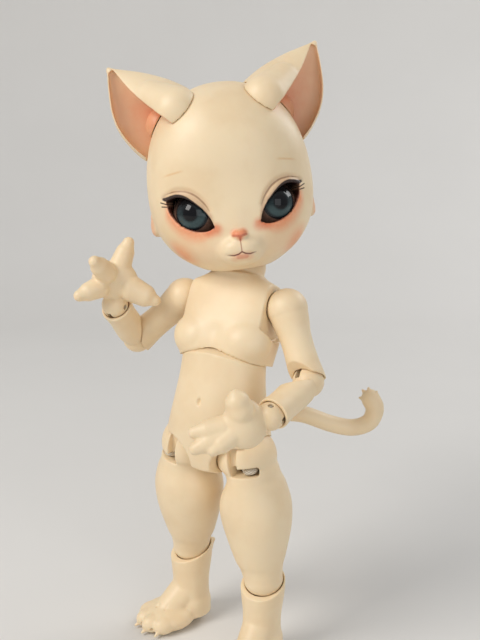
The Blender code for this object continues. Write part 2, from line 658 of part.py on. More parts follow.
def build_chest():
    """Upper torso with the bust, the shoulder sockets and the neck ball."""
    up_shares = (0.20, 0.30, 0.40, 0.50, 0.60, 0.70, 0.78, 0.85, 0.89, 0.925, 0.955)
    half_width_shares = (0.83, 0.85, 0.89, 0.93, 0.95, 0.99, 1.0, 0.95, 0.78, 0.56, 0.45)
    front_shares = (1.0, 1.04, 1.08, 1.06, 1.0, 0.88, 0.78, 0.70, 0.66, 0.68, 0.76)
    back_shares = (0.90, 0.94, 0.98, 1.02, 1.03, 1.0, 0.94, 0.84, 0.74, 0.72, 0.76)
    work = bmesh.new()
    add_loft(work, levels_of(NECK_HEIGHT, up_shares, CHEST_HALF_WIDTH, half_width_shares,
                             CHEST_DEPTH, front_shares, CHEST_DEPTH, back_shares), 24, boxiness=2.6)
    for sign in SIDES.values():
        add_ball(work, BUST_RADIUS, (sign * BUST_OFFSET, -BUST_FORWARD, BUST_HEIGHT), (1.05, 0.80, 0.92))
    piece = part("upper_torso", mesh_from("upper_torso", work), waist, resin)
    soften(piece, BODY_VOXEL, 5, BODY_KEPT)
    top = ball_mesh("neck_ball_guide", NECK_BALL, (0, NECK_BACK, NECK_HEIGHT), 16, 10)
    boolean(piece, cutter("neck_ball_guide", top, waist), "UNION")
    boolean(piece, hollow("chest_waist_hollow", WAIST_BALL, waist))
    neck_centre = (0, NECK_BACK, NECK_HEIGHT)
    neck_top = (0, NECK_BACK, NECK_HEIGHT + NECK_BALL + OVERRUN)
    # The bore through the ball flares, so that the hook can tilt with the head
    flare = cutter("neck_bore_guide",
                   rod_mesh("neck_bore_guide", neck_centre, neck_top, NECK_BORE, 14, NECK_FLARE), waist)
    boolean(piece, flare)
    bore(piece, "chest_bore", waist, (0, CHEST_BORE_BACK, 0),
         (0, NECK_BACK, NECK_HEIGHT + NECK_BALL / 4), CHEST_BORE, 14)
    arm_level = [(sign * SHOULDER_OFFSET, 0, SHOULDER_HEIGHT) for sign in (-1, 1)]
    bore(piece, "arm_cross_bore", waist, arm_level[0], arm_level[1], CORD_BORE, 10)
    for side, sign in SIDES.items():
        centre = (sign * SHOULDER_OFFSET, 0, SHOULDER_HEIGHT)
        boolean(piece, hollow(f"{side}_shoulder_hollow", SHOULDER_BALL, waist, centre))
        # Flat clearance round the socket, in which the arm swings
        start = (sign * SHOULDER_RELIEF, 0, SHOULDER_HEIGHT)
        end = (sign * (SHOULDER_OFFSET + SHOULDER_BALL), 0, SHOULDER_HEIGHT)
        bore(piece, f"{side}_shoulder_relief", waist, start, end, SHOULDER_RELIEF_RADIUS, 18)
    return piece


def build_upper_arm(side, sign):
    """Shoulder ball, upper arm and the cup of the elbow."""
    rings = ball_rings(SHOULDER_BALL, (24, 48, 70, 90, 106))
    down_shares = (-0.22, -0.38, -0.58, -0.78, -0.93, -1.14)
    half_width_shares = (1.16, 1.02, 0.98, 1.02, 1.10, 1.13)
    rings += levels_of(UPPER_ARM_LENGTH, down_shares, UPPER_ARM_HALF_WIDTH, half_width_shares,
                       UPPER_ARM_HALF_WIDTH, half_width_shares, UPPER_ARM_HALF_WIDTH, half_width_shares)
    work = bmesh.new()
    add_loft(work, rings, 14)
    name = f"{side}_upper_arm"
    piece = part(name, mesh_from(name, work), shoulders[side], resin)
    elbow_place = (0, 0, -UPPER_ARM_LENGTH)
    boolean(piece, hollow(f"{side}_elbow_hollow", ELBOW_BALL, shoulders[side], elbow_place))
    half, deep = ELBOW_BALL * 2, ELBOW_BALL * 3
    # The front of the rim is cut steeper, so that the forearm can fold up
    cuts = (("rim", (-half, -deep, -deep), (half, deep, 0), ELBOW_RIM_RISE, -ELBOW_RIM_TILT),
            ("front_rim", (-half, -deep, -deep), (half, 0, 0), 0, ELBOW_FRONT_RIM - 90))
    for label, low, high, rise, tilt in cuts:
        guide_name = f"{side}_elbow_{label}_guide"
        guide = cutter(guide_name, box_mesh(guide_name, low, high), shoulders[side])
        guide.location = (0, 0, -UPPER_ARM_LENGTH + rise)
        guide.rotation_euler = (radians(tilt), 0, 0)
        boolean(piece, guide)
    bore(piece, f"{side}_upper_arm_bore", shoulders[side], (0, 0, 0), elbow_place, LIMB_BORE, 10)
    core = ball_mesh(f"{side}_shoulder_core_guide", ARM_CORE, segments=8, levels=6)
    boolean(piece, cutter(f"{side}_shoulder_core_guide", core, shoulders[side]))
    # The cord leaves the shoulder ball along the chest's own cross bore
    low, high = SHOULDER_RAISE[side]
    fan(piece, f"{side}_shoulder_fan", waist, (sign * SHOULDER_OFFSET, 0, SHOULDER_HEIGHT), (-sign, 0, 0),
        raise_axis(side, sign), -high - FAN_SPARE, -low + FAN_SPARE, SHOULDER_BALL + OVERRUN, ARM_SLOT / 2)
    return piece


def build_forearm(side, sign):
    """Elbow ball, forearm and the cup of the wrist."""
    down_shares = (-0.10, -0.22, -0.36, -0.52, -0.70, -0.86, -1.06)
    half_width_shares = (0.80, 0.93, 0.98, 0.96, 0.96, 1.02, 1.10)
    half_depth_shares = (0.86, 0.98, 1.0, 0.98, 0.96, 1.0, 1.07)
    work = bmesh.new()
    add_loft(work, levels_of(FOREARM_LENGTH, down_shares, FOREARM_HALF_WIDTH, half_width_shares,
                             FOREARM_HALF_DEPTH, half_depth_shares, FOREARM_HALF_DEPTH, half_depth_shares), 14)
    name = f"{side}_forearm"
    piece = part(name, mesh_from(name, work), elbows[side], resin)
    half, deep = ELBOW_BALL * 2, ELBOW_BALL * 3
    notch = box_mesh(f"{side}_elbow_notch_guide", (-half, -deep, 0), (half, 0, deep))
    guide = cutter(f"{side}_elbow_notch_guide", notch, elbows[side])
    guide.rotation_euler = (radians(90 - ELBOW_NOTCH), 0, 0)
    boolean(piece, guide)
    ball = ball_mesh(f"{side}_elbow_ball_guide", ELBOW_BALL)
    boolean(piece, cutter(f"{side}_elbow_ball_guide", ball, elbows[side]), "UNION")
    wrist_place = (0, 0, -FOREARM_LENGTH)
    boolean(piece, hollow(f"{side}_wrist_hollow", WRIST_BALL, elbows[side], wrist_place))
    half = WRIST_BALL * 2
    rim = box_mesh(f"{side}_wrist_rim_guide", (-half, -half, -half), (half, half, 0))
    guide = cutter(f"{side}_wrist_rim_guide", rim, elbows[side])
    guide.location = (0, 0, -FOREARM_LENGTH + WRIST_RIM_RISE)
    boolean(piece, guide)
    bore(piece, f"{side}_forearm_bore", elbows[side], (0, 0, 0), wrist_place, LIMB_BORE, 10)
    core = ball_mesh(f"{side}_elbow_core_guide", ELBOW_CORE, segments=8, levels=6)
    boolean(piece, cutter(f"{side}_elbow_core_guide", core, elbows[side]))
    fan(piece, f"{side}_elbow_fan", elbows[side], (0, 0, 0), (0, 0, 1), (1, 0, 0),
        -FAN_SPARE, ELBOW_BEND_LIMIT + FAN_SPARE, ELBOW_BALL + OVERRUN, ARM_SLOT / 2)
    return piece


def build_hand(side, sign):
    """Paw with three fingers and a thumb; the palm faces the empty's -Y."""
    work = bmesh.new()
    palm = Vector((0, 0, -PALM_LENGTH * 0.86))
    add_ball(work, PALM_HALF_WIDTH, palm, (1, PALM_HALF_DEPTH / PALM_HALF_WIDTH, 0.86))
    add_taper(work, (0, 0, -WRIST_BALL * 0.4), (0, 0, -PALM_LENGTH * 0.7), WRIST_BALL * 0.62, PALM_HALF_DEPTH)
    for thumbward, fingerward, palmward in DIGIT_SHARES[side]:
        along = Vector((sign * thumbward, -palmward, -fingerward)) * HAND_REACH
        root = palm + along * DIGIT_ROOT_SHARE
        knuckle = FINGER_RADIUS * (THUMB_WIDENING if thumbward > 0.5 else 1)
        add_taper(work, root, palm + along * (1 - FINGERTIP_RADIUS / along.length), knuckle, FINGERTIP_RADIUS)
    name = f"{side}_hand"
    piece = part(name, mesh_from(name, work), wrists[side], resin)
    soften(piece, HAND_VOXEL, 5, HAND_KEPT)
    ball = ball_mesh(f"{side}_wrist_ball_guide", WRIST_BALL)
    boolean(piece, cutter(f"{side}_wrist_ball_guide", ball, wrists[side]), "UNION")
    core = ball_mesh(f"{side}_wrist_core_guide", WRIST_CORE, segments=8, levels=6)
    boolean(piece, cutter(f"{side}_wrist_core_guide", core, wrists[side]))
    pin = wrist_axis(side)
    half = pin * (WRIST_BALL + OVERRUN)
    bore(piece, f"{side}_wrist_pin_bore", wrists[side], -half, half, WRIST_PIN_RADIUS + GAP, 10)
    fan(piece, f"{side}_wrist_fan", wrists[side], (0, 0, 0), (0, 0, 1), pin, -WRIST_BEND_LIMIT - FAN_SPARE,
        WRIST_BEND_LIMIT + FAN_SPARE, WRIST_BALL + OVERRUN, HOOK_WIRE + GAP * 1.5)
    return piece


def build_upper_leg(side, sign):
    """Hip ball, thigh and the ball of the hock."""
    rings = ball_rings(HIP_BALL, (22, 42, 60, 76, 90, 106))
    down_shares = (-0.105, -0.16, -0.213, -0.277, -0.38, -0.50, -0.62, -0.74, -0.84, -0.905, -1.0)
    half_width_shares = (0.74, 0.72, 0.80, 0.90, 1.0, 0.98, 0.90, 0.79, 0.68, 0.595, 0.545)
    depth_shares = (0.78, 0.82, 0.88, 0.93, 0.97, 0.95, 0.88, 0.78, 0.67, 0.59, 0.545)
    outward_shares = (0.10, 0.14, 0.14, 0.10, 0.07, 0.06, 0.05, 0.02, 0.0, 0.0, 0.0)
    for down, across, ahead, outward in zip(down_shares, half_width_shares, depth_shares, outward_shares):
        deep = THIGH_HALF_WIDTH * ahead
        rings.append(ring(THIGH_LENGTH * down, THIGH_HALF_WIDTH * across, deep, deep,
                          (sign * THIGH_HALF_WIDTH * outward, 0)))
    rings += [ring(height - THIGH_LENGTH, across, ahead, behind)
              for height, across, ahead, behind, shift in ball_rings(HOCK_BALL, (106, 124, 142, 160))]
    work = bmesh.new()
    add_loft(work, rings, 16)
    name = f"{side}_upper_leg"
    piece = part(name, mesh_from(name, work), hips[side], resin)
    half = SLOT_WIDTH / 2
    front = -HIP_BALL - OVERRUN
    low, high = (-half, front, -SLOT_DROP), (half, -HIP_BALL + SLOT_DEPTH, SLOT_RISE)
    channel = box_mesh(f"{side}_channel_guide", low, high)
    boolean(piece, cutter(f"{side}_channel_guide", channel, hips[side]))
    ends = sorted((-sign * half, sign * POCKET_REACH))
    low, high = (ends[0], front, -SLOT_DROP), (ends[1], HIP_CORE / 2, -SLOT_DROP + POCKET_HEIGHT)
    pocket = box_mesh(f"{side}_pocket_guide", low, high)
    boolean(piece, cutter(f"{side}_pocket_guide", pocket, hips[side]))
    core = ball_mesh(f"{side}_hip_core_guide", HIP_CORE, segments=8, levels=6)
    boolean(piece, cutter(f"{side}_hip_core_guide", core, hips[side]))
    fan(piece, f"{side}_hip_fan", pelvis, (sign * HIP_OFFSET, 0, 0), (0, 0, 1), (1, 0, 0),
        -HIP_SWING_BACK - FAN_SPARE, HIP_SWING_FRONT + FAN_SPARE, HIP_BALL + OVERRUN, half)
    bore(piece, f"{side}_thigh_bore", hips[side], (0, 0, 0), (0, 0, -THIGH_LENGTH), THIGH_BORE, 12)
    core = ball_mesh(f"{side}_hock_core_guide", HOCK_CORE, segments=8, levels=6)
    boolean(piece, cutter(f"{side}_hock_core_guide", core, hocks[side]))
    fan(piece, f"{side}_hock_fan", hocks[side], (0, 0, 0), (0, 0, -1), (1, 0, 0),
        -HOCK_BEND_FRONT - FAN_SPARE, HOCK_BEND_BACK + FAN_SPARE, HOCK_BALL + OVERRUN, HOOK_WIRE + GAP * 2)
    return piece


def build_lower_leg(side, sign):
    """Cup of the hock with its spur, shank and paw foot with four clawed toes."""
    work = bmesh.new()
    down_shares = (0.30, 0.10, -0.10, -0.26, -0.42, -0.58, -0.74, -0.90)
    half_width_shares = (1.13, 1.13, 1.11, 1.05, 0.98, 0.96, 1.0, 1.02)
    front_shares = (1.14, 1.14, 1.12, 1.04, 0.96, 0.95, 1.0, 1.05)
    add_loft(work, levels_of(HOCK_HEIGHT, down_shares, SHANK_HALF_WIDTH, half_width_shares,
                             SHANK_HALF_WIDTH, front_shares, SHANK_HALF_WIDTH, front_shares), 18)
    sole = -HOCK_HEIGHT
    add_ball(work, HEEL_RADIUS, (0, 0, sole + HEEL_RADIUS * 0.9), (1, 1, 0.95))
    add_ball(work, FOOT_HALF_WIDTH, (0, -FOOT_LENGTH * 0.45, sole + FOOT_THICKNESS * 0.48),
             (1, 1.05, FOOT_THICKNESS / FOOT_HALF_WIDTH * 0.62))
    spur_root = (0, SHANK_HALF_WIDTH * 0.8, SPUR_HEIGHT - SPUR_RADIUS * 2)
    spur_tip = (0, SPUR_REACH - SPUR_RADIUS, SPUR_HEIGHT - SPUR_RADIUS)
    add_taper(work, spur_root, spur_tip, SPUR_RADIUS * 1.6, SPUR_RADIUS * 0.5)
    for place in (-1.5, -0.5, 0.5, 1.5):
        angle = radians(TOE_SPLAY * place)
        out = FOOT_LENGTH * (0.84 - 0.055 * place * place)
        toe = Vector((sin(angle) * out * 1.25, -cos(angle) * out, sole + TOE_RADIUS * 0.86))
        add_ball(work, TOE_RADIUS, toe, (0.82, 1.15, 0.86))
        tip = toe + Vector((sin(angle), -cos(angle), -0.45)).normalized() * (TOE_RADIUS + CLAW_LENGTH)
        add_taper(work, toe, tip, TOE_RADIUS * 0.5, TOE_RADIUS * 0.16)
    name = f"{side}_lower_leg"
    piece = part(name, mesh_from(name, work), hocks[side], resin)
    soften(piece, FOOT_VOXEL, 4, FOOT_KEPT)
    boolean(piece, hollow(f"{side}_hock_hollow", HOCK_BALL, hocks[side]))
    half = FOOT_LENGTH
    rim = box_mesh(f"{side}_hock_rim_guide", (-half, -half, 0), (half, half, half))
    guide = cutter(f"{side}_hock_rim_guide", rim, hocks[side])
    guide.location = (0, 0, -HOCK_RIM_DROP)
    guide.rotation_euler = (radians(HOCK_RIM_TILT), 0, 0)
    boolean(piece, guide)
    floor = box_mesh(f"{side}_sole_guide", (-half, -half * 2, sole - half), (half, half, sole))
    boolean(piece, cutter(f"{side}_sole_guide", floor, hocks[side]))
    hook_room = (0, 0, -FOOT_PIN_DROP - HOOK_ROOM)
    bore(piece, f"{side}_shank_bore", hocks[side], (0, 0, 0), hook_room, HOOK_ROOM, 12)
    half = FOOT_PIN_HALF_LENGTH + GAP
    ends = [(reach, 0, -FOOT_PIN_DROP) for reach in (-half, half)]
    bore(piece, f"{side}_foot_pin_bore", hocks[side], ends[0], ends[1], FOOT_PIN_RADIUS + GAP, 10)
    return piece


def build_head_form():
    """The outer form of the head, a guide that its pieces are cut from."""
    up_shares = (0.0, 0.035, 0.09, 0.16, 0.25, 0.36, 0.47, 0.58, 0.69, 0.79, 0.88, 0.95, 0.985, 1.0)
    half_width_shares = (0.36, 0.52, 0.70, 0.84, 0.945, 0.995, 1.0, 0.975, 0.915, 0.815, 0.66, 0.45,
                         0.26, 0.08)
    front_shares = (0.60, 0.74, 0.86, 0.92, 0.94, 0.95, 0.97, 1.0, 0.99, 0.92, 0.77, 0.53, 0.31, 0.10)
    back_shares = (0.36, 0.48, 0.58, 0.68, 0.80, 0.91, 0.97, 1.0, 0.985, 0.92, 0.78, 0.55, 0.32, 0.10)
    work = bmesh.new()
    add_loft(work, levels_of(HEAD_HEIGHT, up_shares, HEAD_HALF_WIDTH, half_width_shares,
                             HEAD_FRONT, front_shares, HEAD_BACK, back_shares), 32, boxiness=2.25)
    add_ball(work, MUZZLE_RADIUS, (0, -HEAD_FRONT * 0.76, HEAD_HEIGHT * 0.115), (1.0, 0.86, 0.72))
    add_ball(work, NOSE_RADIUS, (0, -NOSE_FORWARD + NOSE_RADIUS, NOSE_HEIGHT), (1.15, 1, 0.85))
    for sign in SIDES.values():
        centre = (sign * HEAD_HALF_WIDTH * 0.965, HEAD_BACK * 0.16, SIDE_EAR_HEIGHT)
        add_ball(work, SIDE_EAR_RADIUS, centre, (0.55, 0.72, 1.1))
    piece = cutter("head_form_guide", mesh_from("head_form_guide", work), neck)
    soften(piece, HEAD_VOXEL, 5, HEAD_KEPT)
    return piece


def eye_place(sign):
    """Centre of an eyeball in the head."""
    return Vector((sign * EYE_OFFSET, -EYE_DEPTH, EYE_HEIGHT))


def almond_mesh(name, sign):
    """Prism with the outline of an eye opening, cut through the face."""
    centre = Vector((sign * LID_OUT, -LID_FORWARD, EYE_HEIGHT))
    along = Vector((sign * LID_ALONG[0], LID_ALONG[1], LID_ALONG[2])).normalized()
    outward = Vector((sign * LID_FACING[0], LID_FACING[1], LID_FACING[2])).normalized()
    upward = outward.cross(along) * sign
    work = bmesh.new()
    sheets = []
    for depth in (-EYE_RADIUS, EYE_RADIUS):
        sheets.append([work.verts.new(centre + along * (EYE_OPENING * across) + outward * depth
                                      + upward * (EYE_OPENING_HALF_HEIGHT * up))
                       for across, up in LID_SHARES])
    inner, outer = sheets
    work.faces.new(inner)
    work.faces.new(list(reversed(outer)))
    for step in range(len(inner)):
        after = (step + 1) % len(inner)
        work.faces.new((inner[after], inner[step], outer[step], outer[after]))
    return mesh_from(name, work)


def copy_of(source, name, carrier, coat=None):
    """A new piece with a copy of a finished form."""
    return part(name, source.data.copy(), carrier, coat)


def cap_side(name, gap):
    """A large box on the cap's side of the cut, set back by a gap."""
    reach = HEAD_HEIGHT * 1.5
    guide = cutter(name, box_mesh(name, (-reach, 0, -reach), (reach, reach, reach)), neck)
    guide.location = (0, CAP_BACK + gap * cos(radians(CAP_TILT)), CAP_HEIGHT + gap * sin(radians(CAP_TILT)))
    guide.rotation_euler = (radians(CAP_TILT), 0, 0)
    return guide


def cap_points():
    """Where the cap's magnets sit, on the cut, with the way out of the head."""
    facing = Vector((0, cos(radians(CAP_TILT)), sin(radians(CAP_TILT))))
    down_cut = Vector((0, sin(radians(CAP_TILT)), -cos(radians(CAP_TILT))))
    middle = Vector((0, CAP_BACK, CAP_HEIGHT)) + down_cut * CAP_MAGNET_DROP
    return [middle + Vector((sign * CAP_MAGNET_OUT, 0, 0)) for sign in (1, -1)], facing


def build_head(form):
    """Face and skull in one shell, and the cap that opens its back."""
    room = (CAVITY_HALF_WIDTH, CAVITY_HALF_DEPTH, CAVITY_HALF_HEIGHT)
    cavity_mesh = ball_mesh("head_cavity_guide", 1, (0, CAVITY_BACK, CAVITY_HEIGHT), 16, 9, room)
    cavity = cutter("head_cavity_guide", cavity_mesh, neck)
    shell = copy_of(form, "head_shell", neck, resin)
    cap = copy_of(form, "head_cap", neck, resin)
    magnets, facing = cap_points()
    bosses = []
    for number, place in enumerate(magnets):
        boss_name = f"cap_boss_{number}_guide"
        boss_form = rod_mesh(boss_name, place - facing * CAP_BOSS_DEPTH, place + facing * CAP_BOSS_DEPTH,
                             CAP_BOSS_RADIUS, 12)
        bosses.append(cutter(boss_name, boss_form, neck))
    for boss in bosses:
        boolean(boss, form, "INTERSECT")
    for piece in (shell, cap):
        boolean(piece, cavity)
        for boss in bosses:
            boolean(piece, boss, "UNION")
    boolean(shell, cap_side("shell_back_guide", 0))
    boolean(cap, cap_side("cap_front_guide", GAP), "INTERSECT")
    for number, place in enumerate(magnets):
        pocket = MAGNET_THICKNESS + GAP
        start, end = place - facing * pocket, place + facing * (pocket + GAP)
        bore(shell, f"shell_magnet_{number}", neck, start,
             place + facing * OVERRUN, CAP_MAGNET_RADIUS + GAP, 12)
        bore(cap, f"cap_magnet_{number}", neck, place - facing * OVERRUN, end, CAP_MAGNET_RADIUS + GAP, 12)
        for side_name, low, high in (("shell", start + facing * (GAP / 2), place - facing * (GAP / 2)),
                                     ("cap", place + facing * (GAP * 1.5), end - facing * (GAP / 2))):
            name = f"{side_name}_magnet_{('left', 'right')[number]}"
            part(name, rod_mesh(name, low, high, CAP_MAGNET_RADIUS, 12), neck, magnet_coat)
    boolean(shell, hollow("neck_hollow", NECK_BALL, neck))
    recess_low = (0, 0, -NECK_BALL)
    bore(shell, "neck_recess", neck, recess_low, (0, 0, NECK_RECESS_HEIGHT), NECK_RECESS, 20)
    bore(shell, "neck_plate", neck, (0, 0, 0), (0, 0, NECK_BALL + NECK_PLATE * 3), NECK_HOLE, 14)
    for side, sign in SIDES.items():
        centre = eye_place(sign)
        # The well is one gap wider than the eyeball and runs back into the hollow
        radius = socket_radius(EYE_RADIUS, 14, 8)
        socket = ball_mesh(f"{side}_eye_guide", radius, centre, 14, 8)
        boolean(shell, cutter(f"{side}_eye_guide", socket, neck))
        well_end = centre + Vector((0, EYE_RADIUS * 1.6, 0))
        bore(shell, f"{side}_eye_well", neck, centre, well_end, radius, 14)
        name = f"{side}_lid_guide"
        boolean(shell, cutter(name, almond_mesh(name, sign), neck))
        name = f"{side}_eye"
        eye = part(name, ball_mesh(name, EYE_RADIUS, centre, 14, 8), neck, glass)
        back = box_mesh(f"{name}_back_guide", centre + Vector((-EYE_RADIUS * 2, EYE_BACK, -EYE_RADIUS * 2)),
                        centre + Vector((EYE_RADIUS * 2, EYE_RADIUS * 2, EYE_RADIUS * 2)))
        boolean(eye, cutter(f"{name}_back_guide", back, neck))
        name = f"{side}_eye_putty"
        start = centre + Vector((0, EYE_BACK + GAP, 0))
        ring_form = rod_mesh(name, start, start + Vector((0, PUTTY_DEPTH, 0)), radius - GAP * 2, 14)
        ring_piece = part(name, ring_form, neck, putty)
        bore(ring_piece, f"{name}_hole", neck, centre,
             centre + Vector((0, EYE_RADIUS * 2, 0)), PUTTY_HOLE, 12)
    return shell, cap


def build_ear(side, sign, form, shell):
    """Hollow cat ear that sits on the head and is held by a pair of magnets."""
    base = Vector((sign * EAR_BASE_OUT, EAR_BASE_BACK, EAR_BASE_HEIGHT))
    tip = Vector((sign * EAR_TIP_OUT, EAR_TIP_BACK, EAR_TIP_HEIGHT))
    length = (tip - base).length
    up = (tip - base).normalized()
    # Across the ear runs to the doll's left, so a sign turns it outward
    across = Vector((up.z, 0, -up.x)).normalized()
    behind = up.cross(across)
    place = Matrix.Translation(base) @ Matrix((across, behind, up)).transposed().to_4x4()
    skin, room = [], []
    for height, width, front, back in zip(EAR_LEVELS, EAR_WIDTHS, EAR_FRONTS, EAR_BACKS):
        half, ahead, rear = EAR_HALF_WIDTH * width, EAR_FRONT * front, EAR_HALF_DEPTH * back
        bow = sign * EAR_BOW * (1 - height) * height * 4
        skin.append(ring(length * height, half, ahead, rear, (bow, 0)))
        if EAR_ROOM_LOW <= height <= EAR_ROOM_HIGH:
            inner = (half - EAR_WALL + EAR_LIP) / 2
            middle = bow + sign * (half - EAR_WALL - EAR_LIP) / 2
            room.append(ring(length * height, inner, ahead * EAR_ROOM_FRONT_SHARE, rear * EAR_ROOM_BACK_SHARE,
                             (middle, 0)))
    work = bmesh.new()
    add_loft(work, skin, 20, place=place)
    name = f"{side}_cat_ear"
    piece = part(name, mesh_from(name, work), neck, resin)
    work = bmesh.new()
    add_loft(work, room, 16, place=place)
    boolean(piece, cutter(f"{name}_room_guide", mesh_from(f"{name}_room_guide", work), neck))
    seat = copy_of(form, f"{name}_seat_guide", neck)
    seat.hide_render = True
    seat.display_type = "WIRE"
    for vertex in seat.data.vertices:
        vertex.co += vertex.normal * GAP
    boolean(piece, seat, solver="MANIFOLD")
    start = Vector((0, CAVITY_BACK, EAR_SEAT_CENTRE))
    ray = Vector((sign * EAR_SEAT_RAY[0], EAR_SEAT_RAY[1], EAR_SEAT_RAY[2])).normalized()
    tree = BVHTree.FromPolygons([vertex.co for vertex in form.data.vertices],
                                [face.vertices for face in form.data.polygons])
    surface = tree.ray_cast(start, ray)[0]
    deep = MAGNET_THICKNESS + GAP
    bore(shell, f"{side}_ear_magnet_seat", neck, surface - ray * deep,
         surface + ray * OVERRUN, MAGNET_RADIUS + GAP, 12)
    bore(piece, f"{name}_magnet_seat", neck, surface - ray * OVERRUN,
         surface + ray * (deep + GAP), MAGNET_RADIUS + GAP, 12,
         "MANIFOLD")
    name = f"{side}_head_magnet"
    inner_disc = rod_mesh(name, surface - ray * (deep - GAP / 2), surface - ray * (GAP / 2), MAGNET_RADIUS, 12)
    part(name, inner_disc, neck, magnet_coat)
    name = f"{side}_ear_magnet"
    outer_disc = rod_mesh(name, surface + ray * (GAP * 3 / 2), surface + ray * deep, MAGNET_RADIUS, 12)
    part(name, outer_disc, neck, magnet_coat)
    return piece


def build_tail():
    """Curved tail with a tufted tip on a ball behind the hips."""
    route = [Vector(point) for point in TAIL_ROUTE]
    work = bmesh.new()
    route = smooth_route(route, TAIL_UNIT)
    for number, (start, end) in enumerate(zip(route, route[1:])):
        share = TAIL_SHARES[min(number // 2, len(TAIL_SHARES) - 1)]
        add_taper(work, start, end, TAIL_RADIUS * share, TAIL_RADIUS * share, 10)
    tip = route[-1]
    way = (route[-1] - route[-2]).normalized()
    sideways = way.cross(Vector((0, 1, 0))).normalized()
    for out, on in TUFT_SHARES:
        end = tip + sideways * (TUFT_SPREAD * out) + way * (TUFT_SPREAD * on)
        add_taper(work, tip, end, TUFT_RADIUS, TUFT_RADIUS * 0.4, 8)
    piece = part("tail", mesh_from("tail", work), tail_joint, resin)
    soften(piece, FOOT_VOXEL, 4, TAIL_KEPT)
    ball_form = ball_mesh("tail_ball_guide", TAIL_BALL, segments=14, levels=8)
    boolean(piece, cutter("tail_ball_guide", ball_form, tail_joint), "UNION")
    core_form = ball_mesh("tail_core_guide", TAIL_CORE, segments=10, levels=8)
    boolean(piece, cutter("tail_core_guide", core_form, tail_joint))
    fan(piece, "tail_fan", pelvis, (0, TAIL_SEAT_BACK, TAIL_SEAT_HEIGHT), tail_cord_way(), (1, 0, 0),
        -TAIL_LIFT_LIMIT - FAN_SPARE, TAIL_LIFT_LIMIT + FAN_SPARE, TAIL_BALL + OVERRUN, ARM_SLOT / 2)
    bore(piece, "tail_cord_bore", tail_joint, (0, 0, 0), Vector(TAIL_ROUTE[1]) * TAIL_BORE_SHARE,
         ARM_CORD + GAP * 3 / 2, 8)
    return piece


